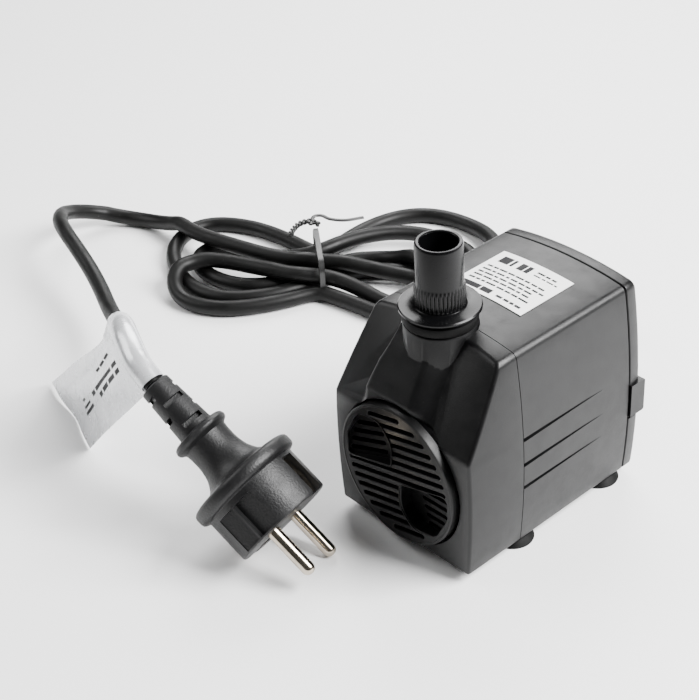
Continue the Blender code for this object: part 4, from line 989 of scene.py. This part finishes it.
def make_plug():
    """Moulded plug with its guides, earth clips, sleeve, pins and slotted relief."""
    rim, barrel, end = PLUG_FLANGE_RADIUS, PLUG_BODY_RADIUS, -PLUG_LENGTH
    profile = [(0, end), (5.3, end), (5.6, end + 0.4), (6.8, -43.6), (8.6, -43.6), (9.7, -43.4),
               (10.4, -42.9), (10.8, -41.7), (10.6, -40.9), (10.2, -40.4), (9.3, -39.9),
               (8.7, -39.3), (8.45, -37.0), (8.4, -34.0), (8.55, -32.0), (8.9, -30.0), (9.4, -28.2),
               (10.2, -26.6), (11.1, -25.1), (12.4, -23.9), (14.5, -23.1), (rim - 2.2, -22.8),
               (rim - 1.0, -22.4), (rim - 0.3, -21.8), (rim, -21.0), (rim, -18.9),
               (rim - 0.3, -18.0), (rim - 0.9, -17.5), (rim - 1.7, -17.2), (barrel + 0.3, -17.1),
               (barrel, -16.8), (barrel, -0.9), (barrel - 0.25, -0.25), (barrel - 0.9, 0.0),
               (0, 0.0)]
    body = add_mesh("plug_moulding", moved(turned(profile, 128), PLUG_PLACE), MATERIALS["plug"])
    guides = []
    for side in (-1, 1):
        for shelf in (-1, 1):
            x_low, x_high = sorted((side * 16.3, side * 22.0))
            y_low, y_high = sorted((shelf * 0.4, shelf * 8.2))
            guides.append(block((x_low, y_low, -14.6), (x_high, y_high, -0.8)))
    guides += [block((-3.3, 14.6, -15.6), (3.3, 22.0, 1.0)),
               block((-3.3, -22.0, -15.6), (3.3, -14.6, 1.0))]
    cut(body, moved(joined(*guides), PLUG_PLACE))
    holes = [rod_z(3.4, -14.0, 1.0, (0.0, EARTH_Y), 48)]
    holes += [rod_z(PIN_RADIUS + 0.3, -8.0, 1.0, (side * PIN_SPACING / 2, 0.0), 48)
              for side in (-1, 1)]
    cut(body, moved(joined(*holes), PLUG_PLACE))
    slots = staggered_slots([-62.0 + 4.7 * i for i in range(4)], 2.0, 3.6, 8.0, 3.9)
    turn = Matrix.Rotation(math.radians(RELIEF_TURN), 4, "Z")
    cut(body, moved(moved(slots, turn), PLUG_PLACE))
    made = [stand_in(body, "plug_body", "pump")]

    def contact(name, node, shape):
        item = add_mesh(name, moved(shape, PLUG_PLACE), MATERIALS["contact_metal"])
        made.append(stand_in(item, node, "pump"))

    tip = PIN_LENGTH
    for side, wing in ((-1, "left"), (1, "right")):
        pin = turned([(0, -7.0), (PIN_RADIUS, -7.0), (PIN_RADIUS, tip - 2.4), (2.25, tip - 1.5),
                      (1.9, tip - 0.8), (1.35, tip - 0.3), (0.7, tip - 0.05), (0.35, tip),
                      (0, tip)], 56)
        contact(f"pin_{wing}", f"plug_pin_{wing}", shifted(pin, side * PIN_SPACING / 2, 0.0))
    for side, level in ((1, "upper"), (-1, "lower")):
        rings = []
        for z in [CLIP_START + CLIP_LENGTH * k / 12 for k in range(13)]:
            swell = 0.9 * math.sin(math.pi * (z - CLIP_START) / CLIP_LENGTH) ** 2
            low, high = sorted((side * (14.9 + swell), side * (15.7 + swell)))
            rings.append([(-2.9, low, z), (2.9, low, z), (2.9, high, z), (-2.9, high, z)])
        contact(f"clip_{level}", f"earth_clip_{level}", loft(rings))
    sleeve = turned([(2.5, -13.0), (3.1, -13.0), (3.1, -0.6), (2.95, -0.35), (2.65, -0.35),
                     (2.5, -0.6)], 48)
    contact("socket_sleeve", "earth_socket", shifted(sleeve, 0.0, EARTH_Y))
    return made


def make_relief():
    """Tapered, slotted sleeve behind the rear cover."""
    profile = [(0, 38.4), (7.6, 38.4), (7.6, 40.3), (5.8, 40.3), (5.8, 47.5)]
    profile += [(5.8 - 1.3 * k / 10, 47.5 + (RELIEF_END_Y - 47.9) * k / 10) for k in range(1, 11)]
    profile += [(4.2, RELIEF_END_Y), (0, RELIEF_END_Y)]
    relief = add_mesh("relief_sleeve", along_y(turned(profile, 64), (CABLE_X, CABLE_Z)),
                      MATERIALS["cord"])
    slots = staggered_slots([50.5 + 5.4 * i for i in (3, 2, 1, 0)], 1.8, 3.8, 9.0, 9.0)
    cut(relief, along_y(slots, (CABLE_X, CABLE_Z)))
    return stand_in(relief, "strain_relief", "pump")


# ---- tag and tie ----
def swept(path, ring_at):
    """Solid along a path; ring_at(side, up) gives the section's offsets at a point."""
    up = Vector((0.0, 0.0, 1.0))
    rings = []
    for i, spot in enumerate(path):
        ahead = path[min(i + 1, len(path) - 1)]
        behind = path[max(i - 1, 0)]
        tangent = (ahead - behind).normalized()
        side = tangent.cross(up).normalized()
        up = side.cross(tangent).normalized()
        rings.append([spot + offset for offset in ring_at(side, up)])
    return loft(rings)


def make_tag():
    """Film tag folded round the lead, its flap hanging to the floor with soft buckles."""
    spans, across = 60, 48
    route = smooth_path(PLUG_LEAD_ROUTE, TAG_WIDTH / spans)
    first = round(TAG_START * spans / TAG_WIDTH)
    stations = route[first:first + spans + 1]
    near, far = (Vector(corner) for corner in TAG_FAR_EDGE)
    inner_reach = CORD_RADIUS + TAG_CLEARANCE
    outer_reach = inner_reach + TAG_THICKNESS
    meeting = 1.6              # the wrap's sides come together this many radii from its middle
    wrap_steps = 28
    leaf_start = wrap_steps + 2
    start = math.degrees(math.acos(1 / meeting))
    half = TAG_THICKNESS / 2
    rings = []
    for i, spot in enumerate(stations):
        tangent = (route[first + i + 1] - route[first + i - 1]).normalized()
        share = i / spans
        flap = near.lerp(far, share) - spot
        flap_way = (flap - tangent * flap.dot(tangent)).normalized()
        side = tangent.cross(flap_way)
        wrap = [(meeting * outer_reach, half + TAG_THICKNESS)]
        wrap += arc((0.0, 0.0), outer_reach, start, 360 - start, wrap_steps)
        inside = arc((0.0, 0.0), inner_reach, 360 - start, start, wrap_steps)
        inside.append((meeting * outer_reach, half + 0.05))
        upper = spot + flap_way * meeting * outer_reach
        under_leaf, over_leaf = [], []
        for k in range(across + 1):
            v = k / across
            free = v ** 0.6 * (1 - 0.6 * v)
            buckle = (2.6 * math.sin(4.6 * share + 2.6 * v + 0.4)
                      + 0.8 * math.sin(11 * share - 7 * v))
            spine = upper.lerp(spot + flap, v) + side * buckle * free
            spine.z = max(spine.z, 0.5)
            under_leaf.append(spine - side * half)
            over_leaf.append(spine + side * half)
        ring = [spot + flap_way * a + side * b for a, b in wrap] + under_leaf + over_leaf[::-1]
        rings.append(ring + [spot + flap_way * a + side * b for a, b in inside])
    tag = add_mesh("tag_film", loft(rings), MATERIALS["tag"], 50)
    rows = [(0.30, 0.36, 0.10, 0.52, 0.15), (0.42, 0.48, 0.10, 0.60, 0.2),
            (0.64, 0.68, 0.12, 0.42, 0.1)]
    bars = bar_pattern(rows, 11)
    bars += [(0.66, 0.84, 0.34, 0.38), (0.69, 0.81, 0.42, 0.455), (0.72, 0.78, 0.495, 0.53)]
    count = len(rings[0])
    columns = {}
    for face in tag.data.polygons:
        slots = [(v // count, v % count) for v in face.vertices]
        columns[face.index] = (sum(a for a, _ in slots) / 4, sum(b for _, b in slots) / 4)

    def place(face):
        along, around = columns[face.index]
        if leaf_start < around < leaf_start + across:
            return (around - leaf_start) / across, along / spans
        mirrored = leaf_start + 2 * across + 1 - around
        return (mirrored / across, along / spans) if 0 < mirrored < across else (-1.0, -1.0)

    printed(tag, bars, place, MATERIALS["print"])
    return stand_in(tag, "cable_tag", "pump")


TIE_TWIST = [(-162.6, 64.4, 18.4), (-166.4, 62.6, 19.4), (-168.2, 58.2, 19.4), (-167.2, 53.6, 19.0),
             (-165.0, 49.7, 18.6)]
TIE_TAIL = [(-164.2, 60.8, 19.2), (-167.1, 65.3, 20.2), (-165.4, 68.4, 20.2), (-160.7, 69.4, 19.8),
            (-155.6, 73.6, 19.4), (-151.9, 81.2, 19.0)]


def make_tie():
    """Coated wire ribbon round the hank, its ends twisted together, one left long."""
    turn = (Matrix.Translation((*TIE_CENTRE, 0.0))
            @ Matrix.Rotation(math.radians(TIE_ACROSS), 4, "Z"))
    corners = [(-TIE_HALF, TIE_LOW, 5.0), (TIE_HALF, TIE_LOW, 5.0), (TIE_HALF, TIE_HIGH, 5.5),
               (-TIE_HALF, TIE_HIGH, 5.5)]
    outer = rounded(corners, 10)
    inset = [(x - math.copysign(TIE_THICKNESS, x), z + (TIE_THICKNESS if z < 9 else -TIE_THICKNESS),
              radius - TIE_THICKNESS) for x, z, radius in corners]
    inner = rounded(inset, 10)
    half, bow = TIE_WIDTH / 2, 0.25
    rings = []
    for (x, z), (deep_x, deep_z) in zip(outer, inner):
        rings.append([(x, -half + bow, z), (x, half - bow, z), (deep_x, half, deep_z),
                      (deep_x, -half, deep_z)])
    band = moved(loft(rings, closed=True), turn)
    spacing, pitch = 0.35, 4.2
    path = smooth_path(TIE_TWIST, spacing)
    strands = []
    for phase in (0.0, math.pi):
        wound_path = []
        for i, spot in enumerate(path):
            ahead = path[min(i + 1, len(path) - 1)] - path[max(i - 1, 0)]
            side = ahead.normalized().cross(Vector((0.0, 0.0, 1.0))).normalized()
            up = side.cross(ahead.normalized())
            angle = phase + 2 * math.pi * i * spacing / pitch
            wound_path.append(spot + 0.75 * (side * math.cos(angle) + up * math.sin(angle)))
        strands.append(swept(wound_path, lambda side, up: [
            0.62 * (side * math.cos(t) + up * math.sin(t)) for t in
            (2 * math.pi * k / 10 for k in range(10))]))
    tail = swept(smooth_path(TIE_TAIL, 0.6), lambda side, up: [
        side * 0.95 * math.cos(t) + up * 0.5 * math.sin(t) for t in
        (2 * math.pi * k / 12 for k in range(12))])
    tie = add_mesh("wire_tie", joined(band, *strands, tail), MATERIALS["tie"], 40)
    return stand_in(tie, "twist_tie", "pump")


# ---- camera, floor and light ----
CAMERA_PLACE = (0.31021, -0.32943, 0.3679)
CAMERA_TURN = 49.285
CAMERA_DIP = 34.131
CAMERA_ROLL = -3.566
CAMERA_LENS = 82.447


def make_stage():
    camera_data = bpy.data.cameras.new("camera")
    camera_data.lens = CAMERA_LENS
    camera_data.sensor_width = 36.0
    camera_data.clip_start = 0.01
    camera = bpy.data.objects.new("camera", camera_data)
    turn = Matrix.Rotation(math.radians(CAMERA_TURN), 4, "Z")
    turn = turn @ Matrix.Rotation(math.radians(90 - CAMERA_DIP), 4, "X")
    turn = turn @ Matrix.Rotation(math.radians(CAMERA_ROLL), 4, "Z")
    camera.matrix_world = Matrix.Translation(CAMERA_PLACE) @ turn
    bpy.context.scene.collection.objects.link(camera)
    bpy.context.scene.camera = camera

    floor = add_mesh("floor", block((-1500, -1500, -20.0), (1500, 1500, 0.0)), floor_material())

    world = bpy.data.worlds.new("studio")
    world.use_nodes = True
    background = world.node_tree.nodes["Background"].inputs
    background["Color"].default_value = (1.0, 1.0, 1.0, 1.0)
    background["Strength"].default_value = 0.10
    bpy.context.scene.world = world

    lights = [
        ("key_right", (0.62, 0.40, 0.75), (0.0, 0.0, 0.03), 0.60, 50.0),
        ("deck_sheen", (-0.48, 0.55, 0.62), (0.0, 0.0, 0.07), 0.60, 12.0),
        ("fill_left", (-0.70, -0.50, 0.70), (-0.10, 0.0, 0.02), 0.70, 7.0),
    ]
    for name, place, target, size, power in lights:
        data = bpy.data.lights.new(name, "AREA")
        data.shape = "SQUARE"
        data.size = size
        data.energy = power
        lamp = bpy.data.objects.new(name, data)
        aim = Vector(target) - Vector(place)
        lamp.matrix_world = (Matrix.Translation(place)
                             @ aim.to_track_quat("-Z", "Y").to_matrix().to_4x4())
        bpy.context.scene.collection.objects.link(lamp)


def floor_material():
    nodes = Nodes("pale_floor")
    tone = nodes.ramp(nodes.noise(3.0), [(0.3, (0.92, 0.92, 0.92)), (0.7, (0.94, 0.94, 0.94))])
    nodes.link(tone, nodes.shader.inputs["Base Color"])
    nodes.shader.inputs["Roughness"].default_value = 0.6
    return nodes.material


# ---- cord ----
CORD_SPACING = 2.6
CORD_GAP = 1.01            # centres of strands stay this many diameters apart
SETTLE_ROUNDS = 260
LIFT_SHARE = 1.6           # crossing strands part mostly upwards
BEND_EASE = 0.22
ROUTE_HOLD = 0.012
SINK_STEP = 0.02


def hank_route():
    """Points of the folded turns, from the plug's side to the pump's side."""
    lanes = TIE_LANES
    route = list(LEAD_OVER_HANK) + [lanes["lead"]]
    route += RIGHT_ENDS[0] + [lanes["back"]] + LEFT_ENDS[0] + [lanes["front_mid"]]
    route += RIGHT_ENDS[1] + [lanes["back_top"]] + LEFT_ENDS[1] + [lanes["back_mid"]]
    route += RIGHT_ENDS[2] + [lanes["front_top"]] + LEFT_ENDS[2] + [lanes["front"]]
    return route + LAST_TO_PUMP_LEAD


def relax(path, spacing, held_start, held_end):
    """Let the cord settle: smooth bends, no part in another part or in the floor."""
    points = np.array([tuple(point) for point in path])
    shape = points.copy()
    count = len(points)
    free = np.ones(count, bool)
    free[:held_start] = False
    free[count - held_end:] = False
    near = max(4, int(2.2 * CORD_DIAMETER / spacing))
    low, high = np.triu_indices(count, near)
    for _ in range(SETTLE_ROUNDS):
        delta = points[high] - points[low]
        distance = np.sqrt((delta ** 2).sum(1)) + 1e-9
        close = distance < CORD_DIAMETER * CORD_GAP
        if close.any():
            first, second = low[close], high[close]
            push = (CORD_DIAMETER * CORD_GAP - distance[close]) * 0.5
            move = delta[close] / distance[close][:, None] * push[:, None]
            move[:, 2] *= LIFT_SHARE
            total = np.zeros_like(points)
            hits = np.zeros(count)
            np.add.at(total, first, -move)
            np.add.at(total, second, move)
            np.add.at(hits, first, 1)
            np.add.at(hits, second, 1)
            points[free] += (total / np.maximum(hits, 1)[:, None] * 0.9)[free]
        bend = np.zeros_like(points)
        bend[2:-2] = (points[1:-3] + points[3:-1] - 2 * points[2:-2])
        points[free] += BEND_EASE * bend[free]
        points[free] += ROUTE_HOLD * (shape[free] - points[free])
        points[free, 2] -= SINK_STEP
        points[:, 2] = np.maximum(points[:, 2], CORD_RADIUS)
        reach = points[1:] - points[:-1]
        length = np.sqrt((reach ** 2).sum(1))[:, None]
        fix = reach * (1 - spacing / length) * 0.25
        stretch = np.zeros_like(points)
        stretch[:-1] += fix
        stretch[1:] -= fix
        points[free] += stretch[free]
    points[:, 2] = np.maximum(points[:, 2], CORD_RADIUS)
    return points


def make_cord():
    lead = smooth_path(PLUG_LEAD_ROUTE, CORD_SPACING)
    tail = smooth_path(PUMP_LEAD_ROUTE, CORD_SPACING)
    route = PLUG_LEAD_ROUTE[:-2] + hank_route() + PUMP_LEAD_ROUTE[::-1]
    path = smooth_path(route, CORD_SPACING)
    points = relax(path, CORD_SPACING, len(lead) - 14, len(tail) - 12)
    curve = bpy.data.curves.new("mains_cord", "CURVE")
    curve.dimensions = "3D"
    curve.bevel_depth = CORD_RADIUS * MM
    curve.bevel_resolution = 6
    curve.use_fill_caps = True
    spline = curve.splines.new("POLY")
    spline.points.add(len(points) - 1)
    for point, place in zip(spline.points, points):
        point.co = (*(float(part) * MM for part in place), 1.0)
    curve.materials.append(MATERIALS["cord"])
    cord = bpy.data.objects.new("mains_cord", curve)
    bpy.context.scene.collection.objects.link(cord)
    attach(cord, "pump")
    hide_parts("cord_pump_lead", "cord_hank", "cord_plug_lead")
    return cord


dress_frame()
make_stage()
cord = make_cord()

make_front_shell()
make_housing_shell()
make_rear_shell()
make_dial()
make_nozzle()
make_seal()
make_feet()
make_label()
on_cord = make_plug() + [make_relief(), make_tag(), make_tie()]
